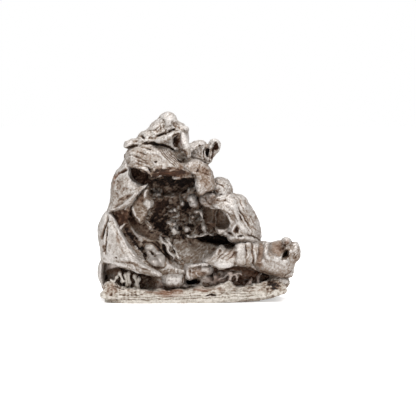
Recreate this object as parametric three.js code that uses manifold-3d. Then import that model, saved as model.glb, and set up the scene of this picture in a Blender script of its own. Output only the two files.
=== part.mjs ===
// Iron meteorite specimen, in millimetres: +X right, +Z up, and the hollow side faces -Y.
//
// The specimen is one natural mass of nickel-iron. It is an intergrowth of coarse crystal
// grains, parted from each other by open fissures, and it stands on the flat underside of
// its lowest plate. Each grain is one mesh here. The grains seat in each other face to face.
import * as THREE from "three";
import { mergeVertices } from "three/addons/utils/BufferGeometryUtils.js";
import Module from "manifold-3d";

// Driving dimensions
const GAP = 0.35; // the open fissure between two grains
const BACK = 14; // how far the mass reaches behind the middle plane
const FRONT = -12.5; // the rim of the big hollow, in front of the middle plane
const HOLLOW_FLOOR = 1.5; // the deepest point of the big hollow
const WEAR = 0.3; // height of the slow swells that weathering left on every face
const AROUND = 22; // steps round a lobe's outline
const ACROSS = 8; // steps from a lobe's front pole to its back pole

const wasm = await Module();
wasm.setup();

// ---- Building blocks ----

// A slow swell, from -1 to 1, that is the same function of place on every grain.
function swell(x, y, z) {
  const wide = Math.sin(0.42 * x + 1.3) * Math.sin(0.5 * y + 0.4) + Math.sin(0.47 * z + 0.31 * x);
  const tight = Math.sin(0.95 * x - 0.6 * z) * Math.sin(0.9 * y + 0.55 * z + 2);
  return 0.4 * wide + 0.2 * tight;
}

// A lobe is a sphere whose equator is stretched onto an outline in the XZ plane and whose
// poles are drawn out to its front and its back. `outline` runs clockwise as seen from the
// front. `square` below 1 makes the sides fuller. `lean` tilts the lobe: how far it moves
// back for each millimetre to the right and upwards. `grow` swells the whole lobe.
function lobe({ outline, centre, front, back, lean = [0, 0], square = 0.75, around = AROUND }, grow = 0) {
  const corners = outline.map(([x, z]) => new THREE.Vector3(x, 0, z));
  const rim = new THREE.CatmullRomCurve3(corners, true, "catmullrom", 0.5);
  const [cx, cz] = centre;
  const half = (back - front) / 2;
  const geometry = new THREE.SphereGeometry(1, around, ACROSS);
  const { position, uv } = geometry.attributes;
  for (let i = 0; i < position.count; i++) {
    const along = position.getY(i); // 1 at the back pole, -1 at the front pole
    const share = Math.pow(Math.sqrt(Math.max(0, 1 - along * along)), square);
    const onRim = rim.getPoint(((uv.getX(i) % 1) + 1) % 1);
    const x = cx + (onRim.x - cx) * share;
    const z = cz + (onRim.z - cz) * share;
    const middle = (front + back) / 2 + lean[0] * (x - cx) + lean[1] * (z - cz);
    const y = middle + half * Math.sign(along) * Math.pow(Math.abs(along), square);
    const reach = Math.hypot(x - cx, y - middle, z - cz);
    const worn = 1 + (WEAR * swell(x, y, z)) / Math.max(reach, 2);
    position.setXYZ(i, cx + (x - cx) * worn, middle + (y - middle) * worn, cz + (z - cz) * worn);
  }
  return solid(geometry, grow);
}

// A round lobe, stated by its middle and its three half widths.
function boulder([x, y, z], [rx, ry, rz], lean = [0, 0]) {
  const points = 8;
  const outline = Array.from({ length: points }, (_, i) => {
    const angle = Math.PI - (i / points) * 2 * Math.PI;
    return [x + rx * Math.cos(angle), z + rz * Math.sin(angle)];
  });
  return { outline, centre: [x, z], front: y - ry, back: y + ry, lean, square: 1, around: 12 };
}

// A closed three.js geometry as a solid that can be joined and cut. `grow` moves each
// corner out along its normal.
function solid(geometry, grow = 0) {
  const bare = geometry.clone();
  bare.deleteAttribute("normal");
  bare.deleteAttribute("uv");
  const merged = mergeVertices(bare, 1e-4);
  merged.computeVertexNormals();
  const { position, normal } = merged.attributes;
  const places = new Float32Array(position.array.length);
  places.forEach((_, i) => (places[i] = position.array[i] + grow * normal.array[i]));
  const triangles = [];
  const index = merged.index.array;
  for (let i = 0; i < index.length; i += 3) {
    const [a, b, c] = [index[i], index[i + 1], index[i + 2]];
    if (a !== b && b !== c && a !== c) triangles.push(a, b, c);
  }
  const mesh = { numProp: 3, vertProperties: places, triVerts: new Uint32Array(triangles) };
  return new wasm.Manifold(new wasm.Mesh(mesh));
}

function joined(lobes, grow = 0) {
  return lobes.map((one) => lobe(one, grow)).reduce((sum, next) => sum.add(next));
}

// The largest of the bodies that a cut leaves.
function largest(cut) {
  return cut.decompose().sort((a, b) => b.volume() - a.volume())[0];
}

// Everything below this height is cut away, which makes the flat face that it stands on.
function halfSpaceBelow(height) {
  const side = 200;
  return solid(new THREE.BoxGeometry(side, side, side).translate(0, 0, height - side / 2));
}

function meshOf(name, body, colour) {
  const { numProp, vertProperties, triVerts } = body.getMesh();
  const places = new Float32Array((vertProperties.length / numProp) * 3);
  for (let i = 0; i < places.length / 3; i++) {
    places.set(vertProperties.subarray(i * numProp, i * numProp + 3), i * 3);
  }
  const geometry = new THREE.BufferGeometry()
    .setAttribute("position", new THREE.BufferAttribute(places, 3))
    .setIndex(new THREE.BufferAttribute(triVerts, 1));
  geometry.computeVertexNormals();
  const mesh = new THREE.Mesh(
    geometry,
    new THREE.MeshStandardMaterial({ color: colour, roughness: 0.55, metalness: 0.6 }),
  );
  mesh.name = name;
  return mesh;
}

// ---- Hollows ----

// The big hollow opens to the front and narrows towards its floor.
const bigHollow = {
  outline: [
    [-26, 24.6], [-21.4, 29.6], [-18.4, 32.6], [-14.6, 36], [-8, 37.4], [-1, 37], [1, 33],
    [6, 29.6], [9.8, 25], [9.6, 21], [6, 17], [2, 12.6], [-4, 9.8], [-9, 10], [-15, 12.8], [-20.4, 18],
  ],
  centre: [-7, 23],
  front: -38,
  back: HOLLOW_FLOOR,
  square: 0.62,
};
// Its roof runs up behind the brow, and its right side runs back under the ribbed shell.
const roofPocket = boulder([-7, -4, 33.4], [9, 7.2, 6.6]);
const sidePocket = boulder([6.4, -3, 25], [5.4, 6.4, 5.2]);
const rightSlit = {
  outline: [[-1, 18.4], [4.2, 20], [9, 19.2], [13.6, 18.2], [10.8, 16.4], [4.2, 15]],
  centre: [6, 17.6],
  front: -20,
  back: 1,
};
const diamondPit = {
  outline: [[-20.4, 38.6], [-20.2, 40.2], [-16.5, 39.7], [-13.8, 36.6], [-16.7, 34.8], [-19.4, 36.4]],
  centre: [-17.6, 37.6],
  front: -18,
  back: -5.6,
};
const leftCave = {
  outline: [[-28.2, 8.6], [-27.8, 10.8], [-22.8, 10.9], [-16.4, 9.4], [-11, 7.4], [-11.4, 4.4], [-18, 3.6], [-26.8, 4]],
  centre: [-20.5, 7.2],
  front: -22,
  back: -2.5,
};
const rightCave = {
  outline: [[3.2, 7], [5.5, 9.4], [10.6, 10.8], [16, 10], [21.4, 7.8], [20.6, 4.6], [13, 4], [5, 4.6]],
  centre: [12.5, 7.2],
  front: -22,
  back: -3,
};
// Thumb-shaped scoops that melting left on the sides and the back.
const scoops = [
  boulder([-14, 17.4, 30], [8, 5, 7]),
  boulder([6, 16.6, 24], [7.4, 5, 6.4]),
  boulder([-4, 17.6, 14], [8.6, 5, 5.6]),
  boulder([-25, 14, 17], [5.6, 7, 6.6]),
  boulder([17, 14.6, 13], [6, 5.4, 5]),
  boulder([-8, 15.4, 42.6], [6, 5, 5]),
];

// ---- Grains, in the order in which they claim their room ----

const grains = [
  {
    name: "base_plate",
    colour: 0xcbc3b6,
    lobes: [
      {
        outline: [
          [-28.2, 1.4], [-27.8, 4.6], [-22, 5], [-10, 4.8], [4, 5], [18, 4.6], [25.6, 5.2],
          [26.6, 3.4], [24.6, 1.6], [19, 0.5], [8, -0.6], [-8, -1.8], [-25.6, -1.6],
        ],
        centre: [-2, 2],
        front: -15,
        back: 14,
        lean: [0.06, 0],
        square: 0.42,
        around: 32,
      },
      // the crumbled left end, and the low mound that closes the right cave
      boulder([-25.4, -8, 3.6], [2.8, 5, 2.8]),
      boulder([23.4, -7, 4.6], [2.9, 4, 2.3]),
    ],
  },
  {
    name: "scroll_arm",
    colour: 0xaeaaa6,
    lobes: [
      {
        outline: [
          [12.4, 15], [13.6, 18.2], [17.6, 17.8], [21.4, 17.4], [25, 17.8], [28.6, 17],
          [30, 13.6], [28.4, 9.6], [25, 8.4], [20.6, 8.7], [16.2, 10.4],
        ],
        centre: [21.4, 13],
        front: -13,
        back: 2.6,
        lean: [0.12, 0.1],
        square: 0.85,
        around: 28,
      },
      // the curled knob at the end
      boulder([28.3, -6, 16.2], [2.5, 3.6, 3]),
    ],
    hollows: [boulder([23.3, -11.4, 16.2], [2.1, 4, 1.7]), boulder([26.1, -11, 14.1], [0.9, 3.6, 1.2])],
  },
  {
    name: "fan_fold",
    colour: 0xb8b0a9,
    lobes: [
      {
        outline: [
          [1.6, 12.2], [4.2, 14.4], [6.8, 16.6], [9.6, 16.3], [12.2, 16.8], [12.2, 13.6],
          [13, 11.4], [10.4, 11], [8.5, 10], [6.4, 9.8], [4, 10.8],
        ],
        centre: [7.6, 13],
        front: -14.4,
        back: -3,
        lean: [0, 0.25],
      },
    ],
  },
  {
    name: "lower_ledge",
    colour: 0xa39a91,
    lobes: [
      {
        outline: [[-4.6, 9], [-3.6, 10.6], [0, 11], [3.4, 10.3], [4, 8.6], [2, 7], [-1, 6.6], [-4, 6.4]],
        centre: [-0.6, 8.7],
        front: -13.8,
        back: -3,
      },
      {
        outline: [[-10.8, 6.6], [-10, 8.3], [-7.4, 8.6], [-4.4, 8.4], [-3.8, 6.4], [-5.2, 5.2], [-9.6, 5.4]],
        centre: [-7.4, 6.8],
        front: -13.6,
        back: -1,
      },
    ],
  },
  {
    name: "left_flank",
    colour: 0xc6c2bc,
    lobes: [
      {
        outline: [
          [-30.2, 21], [-29.4, 24.4], [-27.6, 27], [-24.6, 25.6], [-21.6, 20.6], [-18, 15.8], [-14.6, 12.4],
          [-9.6, 9.6], [-10.4, 7.6], [-16.5, 8.6], [-23, 10], [-28.6, 10.6], [-29.6, 16],
        ],
        centre: [-23.4, 15.8],
        front: -12.4,
        back: 9,
        lean: [-0.5, 0.12],
        square: 0.5,
        around: 32,
      },
      // the wall that closes the left cave
      boulder([-28.4, -1.6, 8.6], [1.6, 7.6, 4.2]),
    ],
    hollows: [leftCave],
  },
  {
    name: "hanging_lobe",
    colour: 0xa29a92,
    lobes: [
      {
        outline: [
          [-2.6, 41], [0, 42.2], [2.8, 41.2], [4.6, 39.2], [5.2, 36], [4.8, 33.6],
          [2.3, 32.1], [0, 32.9], [-0.9, 34.2], [-0.6, 37],
        ],
        centre: [2, 37.4],
        front: -15,
        back: -3,
        lean: [0.1, 0.2],
      },
    ],
  },
  {
    name: "brow_plate",
    colour: 0xbab2ac,
    lobes: [
      {
        outline: [
          [-21.6, 43.6], [-20.6, 45.8], [-16.5, 46.6], [-10.8, 46.2], [-8.1, 45.2], [-6.4, 43.2], [-3, 41.6],
          [-0.6, 39], [-0.6, 37], [-4, 36.6], [-8, 36], [-13.4, 36.2], [-16.4, 38.6], [-20.4, 40.4],
        ],
        centre: [-11, 41.4],
        front: FRONT - 1,
        back: 5,
        lean: [0.05, 0.3],
        square: 0.55,
        around: 32,
      },
    ],
    hollows: [diamondPit, roofPocket],
  },
  {
    name: "left_cheek",
    colour: 0xbfb8b2,
    lobes: [
      {
        outline: [
          [-27.8, 27.6], [-26.2, 31], [-26.1, 36], [-25.2, 38.3], [-22.6, 41.4], [-21.4, 43.2], [-20.4, 40.3],
          [-19.8, 37], [-15.6, 35.2], [-18.6, 31.6], [-21, 29.4], [-26, 26.6],
        ],
        centre: [-22.2, 33.8],
        front: -11,
        back: 8,
        lean: [-0.5, 0.1],
        square: 0.55,
        around: 30,
      },
    ],
    hollows: [diamondPit, bigHollow],
  },
  {
    name: "crown_lobe",
    colour: 0xc7bfb6,
    lobes: [
      {
        outline: [
          [-21.6, 45.4], [-20.6, 48], [-17.6, 50.2], [-14.7, 53.2], [-11.6, 55.9], [-8.6, 57], [-6, 55.2],
          [-3.2, 52], [-2.8, 47.6], [-4.4, 43.4], [-10, 41.6], [-17.4, 42.4],
        ],
        centre: [-11.6, 48.4],
        front: -9.6,
        back: 9.8,
        square: 0.6,
        around: 30,
      },
      // the knob at its left and the drape that hangs at its right
      boulder([-20.6, -4, 47.4], [1.9, 3.6, 1.8]),
      boulder([-3.9, -5.4, 46.2], [2.6, 4, 4.4]),
    ],
    hollows: [boulder([-6, -9, 47.4], [1.1, 4, 1.8])],
  },
  {
    name: "hook_spur",
    colour: 0xb3aca6,
    lobes: [
      boulder([0, -0.5, 45], [2.9, 5, 3.6]),
      boulder([3, -0.6, 44.6], [1, 3.4, 3.8]),
      boulder([4.7, -0.6, 46.9], [1.8, 3, 2]),
      boulder([5.2, -0.4, 45.4], [1.1, 2.4, 1.4]),
    ],
    hollows: [boulder([5.6, -3.4, 45.6], [0.6, 2, 1.1])],
  },
  {
    name: "ridge_knob",
    colour: 0xa2978f,
    lobes: [
      {
        outline: [[4.6, 33.8], [5.4, 36.4], [6.8, 37.4], [9.3, 35.9], [10.5, 33.6], [9.6, 31], [5.6, 31]],
        centre: [7.6, 34],
        front: -9,
        back: 4,
      },
    ],
  },
  {
    name: "ribbed_shell",
    colour: 0xb1a9a5,
    lobes: [
      {
        outline: [
          [4.6, 29.4], [5, 31.6], [10, 33], [15, 32.2], [16, 30.1], [17.6, 27.2], [19.2, 24.8],
          [19.7, 22], [19.6, 16.6], [13.4, 15.6], [7, 18.4], [4.4, 24],
        ],
        centre: [12.4, 24.8],
        front: -11.6,
        back: 9,
        lean: [0.42, 0.25],
        square: 0.7,
        around: 30,
      },
    ],
    hollows: [bigHollow, sidePocket, rightSlit],
  },
  {
    name: "cavity_flap",
    colour: 0x8f8378,
    lobes: [
      {
        outline: [
          [-19.8, 28.6], [-18.8, 31.2], [-17, 33], [-15.6, 32], [-14.4, 29.8],
          [-15.6, 27.8], [-16.3, 25.6], [-17.6, 24.4], [-19.1, 26.2],
        ],
        centre: [-17.2, 29],
        front: -10.4,
        back: -3,
        lean: [-0.3, 0],
      },
    ],
  },
  {
    name: "cavity_nodule",
    colour: 0xaca69e,
    lobes: [boulder([-1.7, -5, 30.3], [1.6, 4.4, 1.8])],
  },
  {
    name: "cave_ribs",
    colour: 0xc4bbb0,
    lobes: [
      boulder([-20.8, -6.6, 5.7], [3.4, 1.8, 1]),
      ...[-23.2, -21.6, -20, -18.4].map((x, i) => boulder([x, -7 + 0.4 * i, 7], [0.62, 1.5, 2.2 - 0.2 * i])),
    ],
  },
  {
    name: "core_mass",
    colour: 0x8a7f76,
    lobes: [
      {
        outline: [
          [-27.4, 15], [-27.6, 22], [-25, 30], [-23.6, 36.6], [-20.6, 43], [-15.6, 47.6], [-8, 48.4], [-1.6, 45.4],
          [4.4, 39], [9.6, 34.6], [15, 30.4], [17.8, 23.6], [19, 17], [23, 12],
          [25, 6.8], [23, 3.6], [0, 2], [-25, 2.6], [-26.8, 8],
        ],
        centre: [-5, 20],
        front: FRONT + 2,
        back: BACK,
        lean: [0.02, 0.02],
        square: 0.5,
        around: 46,
      },
    ],
    hollows: [bigHollow, roofPocket, sidePocket, rightSlit, diamondPit, leftCave, rightCave, ...scoops],
  },
];

// ---- The assembly ----

const specimen = new THREE.Group();
let claimed = halfSpaceBelow(0);
for (const { name, colour, lobes, hollows = [] } of grains) {
  let body = joined(lobes).subtract(claimed);
  for (const hollow of hollows) body = body.subtract(lobe(hollow));
  specimen.add(meshOf(name, largest(body), colour));
  claimed = claimed.add(joined(lobes, GAP));
}

// The origin is under the middle of the specimen, on the surface that it stands on.
const box = new THREE.Box3().setFromObject(specimen);
const middle = box.getCenter(new THREE.Vector3());
specimen.position.set(-middle.x, -middle.y, -box.min.z);

export default specimen;
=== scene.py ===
"""An iron meteorite specimen, standing on its flat underside.

Every grain of the mass is a closed skin. It starts as smooth lobes, which are united into one skin of
even small quads. Marks then press it in and out: lines for ridges and cracks, spots for pits and knobs,
and noise for the weathered surface. What the marks did is kept on the skin as attributes, and the
materials read them. Lengths are in millimetres until a skin becomes an object.
"""

import bpy
import numpy as np
from bpy.props import FloatProperty, FloatVectorProperty, PointerProperty
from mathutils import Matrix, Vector


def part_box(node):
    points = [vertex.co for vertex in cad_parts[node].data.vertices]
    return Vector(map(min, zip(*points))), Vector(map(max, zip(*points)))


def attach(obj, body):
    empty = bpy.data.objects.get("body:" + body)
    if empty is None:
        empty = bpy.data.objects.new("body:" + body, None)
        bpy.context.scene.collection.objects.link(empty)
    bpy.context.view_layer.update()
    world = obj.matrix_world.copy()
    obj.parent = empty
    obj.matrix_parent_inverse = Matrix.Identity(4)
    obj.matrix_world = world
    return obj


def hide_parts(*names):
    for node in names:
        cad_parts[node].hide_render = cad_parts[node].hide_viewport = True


bl_info = {
    "name": "Iron Meteorite Specimen",
    "version": (1, 0, 0),
    "blender": (4, 5, 0),
    "location": "View3D > Sidebar > Meteorite",
    "description": "Builds an iron meteorite specimen, grain by grain, over its measured frame",
    "category": "Add Mesh",
}

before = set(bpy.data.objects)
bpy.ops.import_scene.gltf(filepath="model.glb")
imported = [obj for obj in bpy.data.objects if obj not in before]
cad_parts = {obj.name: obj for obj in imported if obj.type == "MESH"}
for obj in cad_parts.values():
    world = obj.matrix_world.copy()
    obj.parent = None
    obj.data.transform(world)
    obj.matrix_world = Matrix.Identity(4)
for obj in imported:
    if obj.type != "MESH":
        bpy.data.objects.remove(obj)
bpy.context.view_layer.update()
MM = 0.001
PLATE_FRONT = 15.0  # the plate's front edge lies this far before the plane of the outlines
PLANE_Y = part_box("base_plate")[0].y / MM + PLATE_FRONT

HASH_PRIMES = (73856093, 19349663, 83492791, 2654435761)
NOISE_GAIN = 1.4  # brings gradient noise to about -1 to 1
LOBE_AROUND, LOBE_RINGS = 220, 110  # points of a lobe's grid, round its rim and from pole to pole
BACK_WALL = 2.5  # a hollow stops this far before the back of its lobe
SMALL_CELL, FINE_CELL = 0.24, 0.22  # quads of the small and of the smallest grains
CORE_COARSER = 1.33  # the core's quads are this much wider, as it has the most skin
FRONT_FACING = (2.2, 0.6)  # slope and start of the share of a mark on faces that turn away

# the weathered relief, in millimetres: how high each kind of unevenness is, and how wide
SWELL_HIGH, SWELL_WIDE = 0.35, 5.5
CREST_HIGH, CREST_WIDE = 0.4, 4.4
FACET_HIGH, FACET_WIDE = 0.36, 2.6
CHIP_HIGH, CHIP_WIDE = 0.18, 1.05
PLATE_HIGH = 0.18
GRAIN_HIGH, GRAIN_WIDE = 0.08, 0.8
PIT_DEEP, PIT_WIDE = 0.6, 0.95
SHADE_WIDE = 3.4

# the patterns of the patina, in metres: stains and grains across, and pits apart
STAIN_SIZE, SPECK_SIZE, PIT_APART = 0.0011, 0.0006, 0.0007

# painted light and shade that follow a skin's shape, mixed with wear and brown film
UP_FACING_LIGHT_AND_WEAR, DOWN_FACING_FILM_AND_SHADE = 0.06, 0.26
PROUD_WEAR_LIGHT_AND_SHADE = ((3, 0.08, 0.16), (14, 0.35, 0.2), (60, 1.0, 0.16))  # blur steps, reach in mm, share

# the stage, in metres: places and widths of the lights, and the brightness of the ground
KEY_PLACE, KEY_SIZE = (0.14, -0.3, 0.42), 0.2
TOP_PLACE, TOP_SIZE, TOP_SHARE = (-0.05, 0.0, 0.5), 0.26, 0.8
LIGHTS_AIM = (0, 0, 0.03)
WORLD_LIGHT, WORLD_SEEN = 0.55, 1.0
FLOOR_LIGHT, FLOOR_SEEN = 0.1, 0.47
FLOOR_HALF = 3.0
VIEW_WIDTH = 0.1262  # how much the camera sees across, at the specimen
VIEW_AIM = (0.003, 0, 0.0277)  # the specimen stands a little left of the middle
VIEW_RISE = 3.0  # degrees above the level
SENSOR = 36.0


def srgb(code):
    """Linear red, green, blue and alpha of an sRGB hex colour."""
    parts = [int(code[i : i + 2], 16) / 255 for i in (1, 3, 5)]
    linear = [p / 12.92 if p <= 0.04045 else ((p + 0.055) / 1.055) ** 2.4 for p in parts]
    return (*linear, 1.0)


# ---- Noise ----


def lattice(cell, seed):
    """A random unit-range gradient for each whole-number cell, from a hash of its three numbers."""
    a, b, c, d = HASH_PRIMES
    h = (cell[:, 0] * a) ^ (cell[:, 1] * b) ^ (cell[:, 2] * c) ^ (seed * d)
    h = (h ^ (h >> 13)) * 1274126177 & 0xFFFFFFFF
    h = (h ^ (h >> 16)) * 2246822519 & 0xFFFFFFFF
    return np.stack([(h >> s & 0x3FF) / 511.5 - 1 for s in (0, 10, 20)], 1)


def noise(points, size, seed):
    """Gradient noise from about -1 to 1: each corner of the cell that a point is in gives the dot
    product of its gradient and the way to the point, and the eight are blended by a quintic fade."""
    scaled = points / size
    cell = np.floor(scaled).astype(np.int64)
    part = scaled - cell
    fade = part**3 * (part * (part * 6 - 15) + 10)
    total = np.zeros(len(points))
    for corner in np.ndindex(2, 2, 2):
        step = np.array(corner)
        share = np.prod(np.where(step, fade, 1 - fade), axis=1)
        total += share * np.sum(lattice(cell + step, seed) * (part - step), axis=1)
    return total * NOISE_GAIN


def fractal(points, size, seed, octaves=3, gain=0.5):
    """Noise added up over octaves, each half the size of the last and `gain` times as strong."""
    return sum(gain**k * noise(points, size / 2**k, seed + k) for k in range(octaves))


def creased(points, size, seed, octaves=2):
    """Noise folded at zero, from 0 in sharp creases to about 1 on round backs."""
    folds = (abs(noise(points, size / 2**k, seed + 7 * k)) * 0.55**k for k in range(octaves))
    return np.minimum(sum(folds) * 1.6, 1.0)


def facets(points, size, seed):
    """Flat facets, one for each of the random seeds nearest to the points. Gives each point the
    height of its facet, from about -1 to 1, how near it is to its facet's border (1 on it), and a
    random value of the facet."""
    scaled = points / size
    cell = np.floor(scaled).astype(np.int64)
    first, second = np.full(len(points), 9.0), np.full(len(points), 9.0)
    away, own = np.zeros((len(points), 3)), np.zeros((len(points), 3))
    for corner in np.ndindex(3, 3, 3):
        there = cell + np.array(corner) - 1
        random = lattice(there, seed)
        off = scaled - there - 0.5 - 0.4 * random
        far = np.sqrt(np.sum(off**2, axis=1))
        closer = far < first
        second = np.where(closer, first, np.minimum(second, far))
        first = np.where(closer, far, first)
        away[closer], own[closer] = off[closer], random[closer]
    height = own[:, 0] * 0.35 + np.sum(away * own[:, [1, 2, 0]], axis=1)
    return height, np.exp(-(((second - first) / 0.09) ** 2)), own[:, 2]


# ---- Curves and closed surfaces ----


def curve(points, count, closed=False):
    """Points along a Catmull-Rom curve: between two given points the four nearest ones weigh in by
    the cubic 0.5 (-t + 2t^2 - t^3), 0.5 (2 - 5t^2 + 3t^3) and their mirror images."""
    given = np.array(points, float)
    if not closed:
        given = np.vstack([2 * given[0] - given[1], given, 2 * given[-1] - given[-2]])
    spans = len(given) if closed else len(given) - 3
    at = np.linspace(0, spans, count, endpoint=not closed)
    span = np.minimum(at.astype(int), spans - 1)
    t = (at - span)[:, None]
    first = span if not closed else span - 1
    a, b, c, d = (given[(first + k) % len(given)] for k in range(4))
    return 0.5 * (2 * b + (c - a) * t + (2 * a - 5 * b + 4 * c - d) * t**2 + (3 * b - a - 3 * c + d) * t**3)


def grid_faces(rings, around):
    """Faces of a closed tube of rings with a single point at each end: quads between the rings and a
    fan of triangles at both ends."""
    i, j = np.meshgrid(np.arange(rings - 1), np.arange(around), indexing="ij")
    k = (j + 1) % around
    body = np.stack([i * around + j, i * around + k, (i + 1) * around + k, (i + 1) * around + j], -1)
    j = np.arange(around)
    k = (j + 1) % around
    low, high = rings * around, rings * around + 1
    last = (rings - 1) * around
    start = np.stack([np.full(around, low), k, j], 1)
    end = np.stack([np.full(around, high), last + j, last + k], 1)
    return body.reshape(-1, 4).tolist() + start.tolist() + end.tolist()


def lobe(outline, centre, front, back, lean=(0, 0), square=0.75, dents=(), fine=1.0):
    """A sphere whose equator is stretched onto an outline in the XZ plane, and whose poles are drawn
    out to its front and its back. On the way from pole to pole the share of the outline is
    sin^square and the depth is cos^square. `lean` moves it back for each millimetre right and up."""
    around, rings = int(LOBE_AROUND * fine), int(LOBE_RINGS * fine)
    rim = curve(outline, around, closed=True)
    angle = np.linspace(0, np.pi, rings + 2)[1:-1, None]
    share = np.sin(angle) ** square
    depth = -np.sign(np.cos(angle)) * abs(np.cos(angle)) ** square
    x = centre[0] + (rim[:, 0] - centre[0]) * share
    z = centre[1] + (rim[:, 1] - centre[1]) * share
    middle = (front + back) / 2 + lean[0] * (x - centre[0]) + lean[1] * (z - centre[1])
    y = middle + (back - front) / 2 * depth
    poles = [(centre[0], front, centre[1]), (centre[0], back, centre[1])]
    points = np.vstack([np.stack([x, y, z], -1).reshape(-1, 3), poles])
    ahead = np.append((np.broadcast_to(depth, x.shape) < 0).ravel(), [True, False])
    points[:, 1] += np.where(ahead, dented(points, dents, back - BACK_WALL), 0)
    return points, grid_faces(rings, around)


def boulder(centre, radii, lean=(0, 0)):
    """A lobe with an elliptical outline, stated by its middle and its three half widths."""
    x, y, z = centre
    turn = np.linspace(np.pi, -np.pi, 13)[:-1]
    outline = np.stack([x + radii[0] * np.cos(turn), z + radii[2] * np.sin(turn)], 1)
    return lobe(outline, (x, z), y - radii[1], y + radii[1], lean, square=1.0, fine=0.3)


def dented(points, dents, deepest):
    """How far hollows push a front face back. A hollow is an ellipse in the XZ plane whose depth
    falls off as (1 - r^4)^0.5, and where hollows meet the deeper one counts."""
    wobble = points + 0.9 * np.stack([noise(points, 4.5, 31 + k) for k in range(3)], 1)
    push = np.zeros(len(points))
    for at, radii, turn, deep in dents:
        r = elliptic(wobble, at, radii, turn)
        push = np.maximum(push, deep * np.sqrt(np.clip(1 - r**4, 0, 1)))
    return np.minimum(push, np.maximum(deepest - points[:, 1], 0))


def elliptic(points, at, radii, turn):
    """The distance from an ellipse's middle in the XZ plane, which is 1 on the ellipse."""
    x, z = points[:, 0] - at[0], points[:, 2] - at[1]
    c, s = np.cos(np.radians(turn)), np.sin(np.radians(turn))
    return np.hypot((x * c + z * s) / radii[0], (z * c - x * s) / radii[1])


def blade(path, wide, thick, turn=0.0, count=60, around=14):
    """A flat strip with round edges, carried along a path of (x, y, z) points. Its section is an
    ellipse, `wide` and `thick` across, which narrows to nothing at both ends as sin^0.5."""
    spine = curve(path, count)
    along = np.gradient(spine, axis=0)
    along /= np.linalg.norm(along, axis=1)[:, None]
    c, s = np.cos(np.radians(turn)), np.sin(np.radians(turn))
    across = np.cross(along, [0.0, -c, s])
    across /= np.linalg.norm(across, axis=1)[:, None]
    out = np.cross(across, along)
    grow = np.sin(np.linspace(0.02, 0.98, count) * np.pi) ** 0.5
    angle = np.linspace(0, 2 * np.pi, around, endpoint=False)
    flat = np.cos(angle)[None, :, None] * across[:, None] * (wide / 2 * grow)[:, None, None]
    tall = np.sin(angle)[None, :, None] * out[:, None] * (thick / 2 * grow)[:, None, None]
    rings = spine[:, None] + flat + tall
    points = np.vstack([rings.reshape(-1, 3), spine[0], spine[-1]])
    return points, grid_faces(count, around)


# ---- Skins ----


class Skin:
    """A closed surface of even small quads, as whole arrays in millimetres."""

    def __init__(self, surfaces, cell):
        """Unites closed surfaces. Lobes that overlap can't be joined as grids, so Blender's voxel
        remesh makes one skin of them, with quads `cell` wide."""
        mesh = bpy.data.meshes.new("lobes")
        points, faces, count = [], [], 0
        for some, corners in surfaces:
            points.append(some)
            faces += [[c + count for c in face] for face in corners]
            count += len(some)
        mesh.from_pydata(np.vstack(points), [], faces)
        holder = bpy.data.objects.new("lobes", mesh)
        bpy.context.scene.collection.objects.link(holder)
        remesh = holder.modifiers.new("Even quads", "REMESH")
        remesh.mode = "VOXEL"
        remesh.voxel_size = cell
        graph = bpy.context.evaluated_depsgraph_get()
        even = bpy.data.meshes.new_from_object(holder.evaluated_get(graph))
        bpy.data.objects.remove(holder)
        self.mesh = even
        self.points = np.empty(len(even.vertices) * 3)
        even.vertices.foreach_get("co", self.points)
        self.points = self.points.reshape(-1, 3)
        edges = np.empty(len(even.edges) * 2, np.int32)
        even.edges.foreach_get("vertices", edges)
        self.edges = edges.reshape(-1, 2)
        self.valence = np.bincount(edges, minlength=len(self.points))[:, None]
        self.points = self.blurred(self.points, 3)
        self.tone = np.zeros(len(self.points))
        self.rust = np.zeros(len(self.points))

    def blurred(self, values, steps):
        """Values averaged with the mean of their neighbours, `steps` times over."""
        flat = values.reshape(len(self.points), -1)
        a, b = self.edges.T
        for _ in range(steps):
            sums = [
                np.bincount(a, column[b], len(flat)) + np.bincount(b, column[a], len(flat))
                for column in flat.T
            ]
            flat = (flat + np.stack(sums, 1) / self.valence) / 2
        return flat.reshape(values.shape)

    def normals(self):
        self.mesh.vertices.foreach_set("co", self.points.ravel())
        self.mesh.update()
        normals = np.empty(len(self.points) * 3, np.float32)
        self.mesh.vertex_normals.foreach_get("vector", normals)
        return normals.reshape(-1, 3).astype(float)

    def push(self, height, normals=None):
        """Moves every point out along its normal."""
        self.points = self.points + (self.normals() if normals is None else normals) * height[:, None]

    def proud(self, steps, reach):
        """How far each point stands out from the skin blurred over `steps`, in units of `reach`."""
        away = np.sum((self.points - self.blurred(self.points, steps)) * self.normals(), axis=1)
        return np.clip(away / reach, -1, 1)


def along_line(points, path):
    """The signed distance in the XZ plane to a curve through given points, positive on its
    left, and how far along it the nearest place is, from 0 to 1."""
    line = curve(path, 6 * len(path))
    nearest = np.full(len(points), 1e9)
    side = np.ones(len(points))
    share = np.zeros(len(points))
    flat = points[:, [0, 2]]
    for k in range(len(line) - 1):
        start, way = line[k], line[k + 1] - line[k]
        off = flat - start
        t = np.clip(off @ way / (way @ way), 0, 1)
        far = np.hypot(*(off - t[:, None] * way).T)
        closer = far < nearest
        nearest[closer] = far[closer]
        side[closer] = np.sign(way[0] * off[:, 1] - way[1] * off[:, 0])[closer]
        share[closer] = ((k + t) / (len(line) - 1))[closer]
    return nearest * side, share


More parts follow.
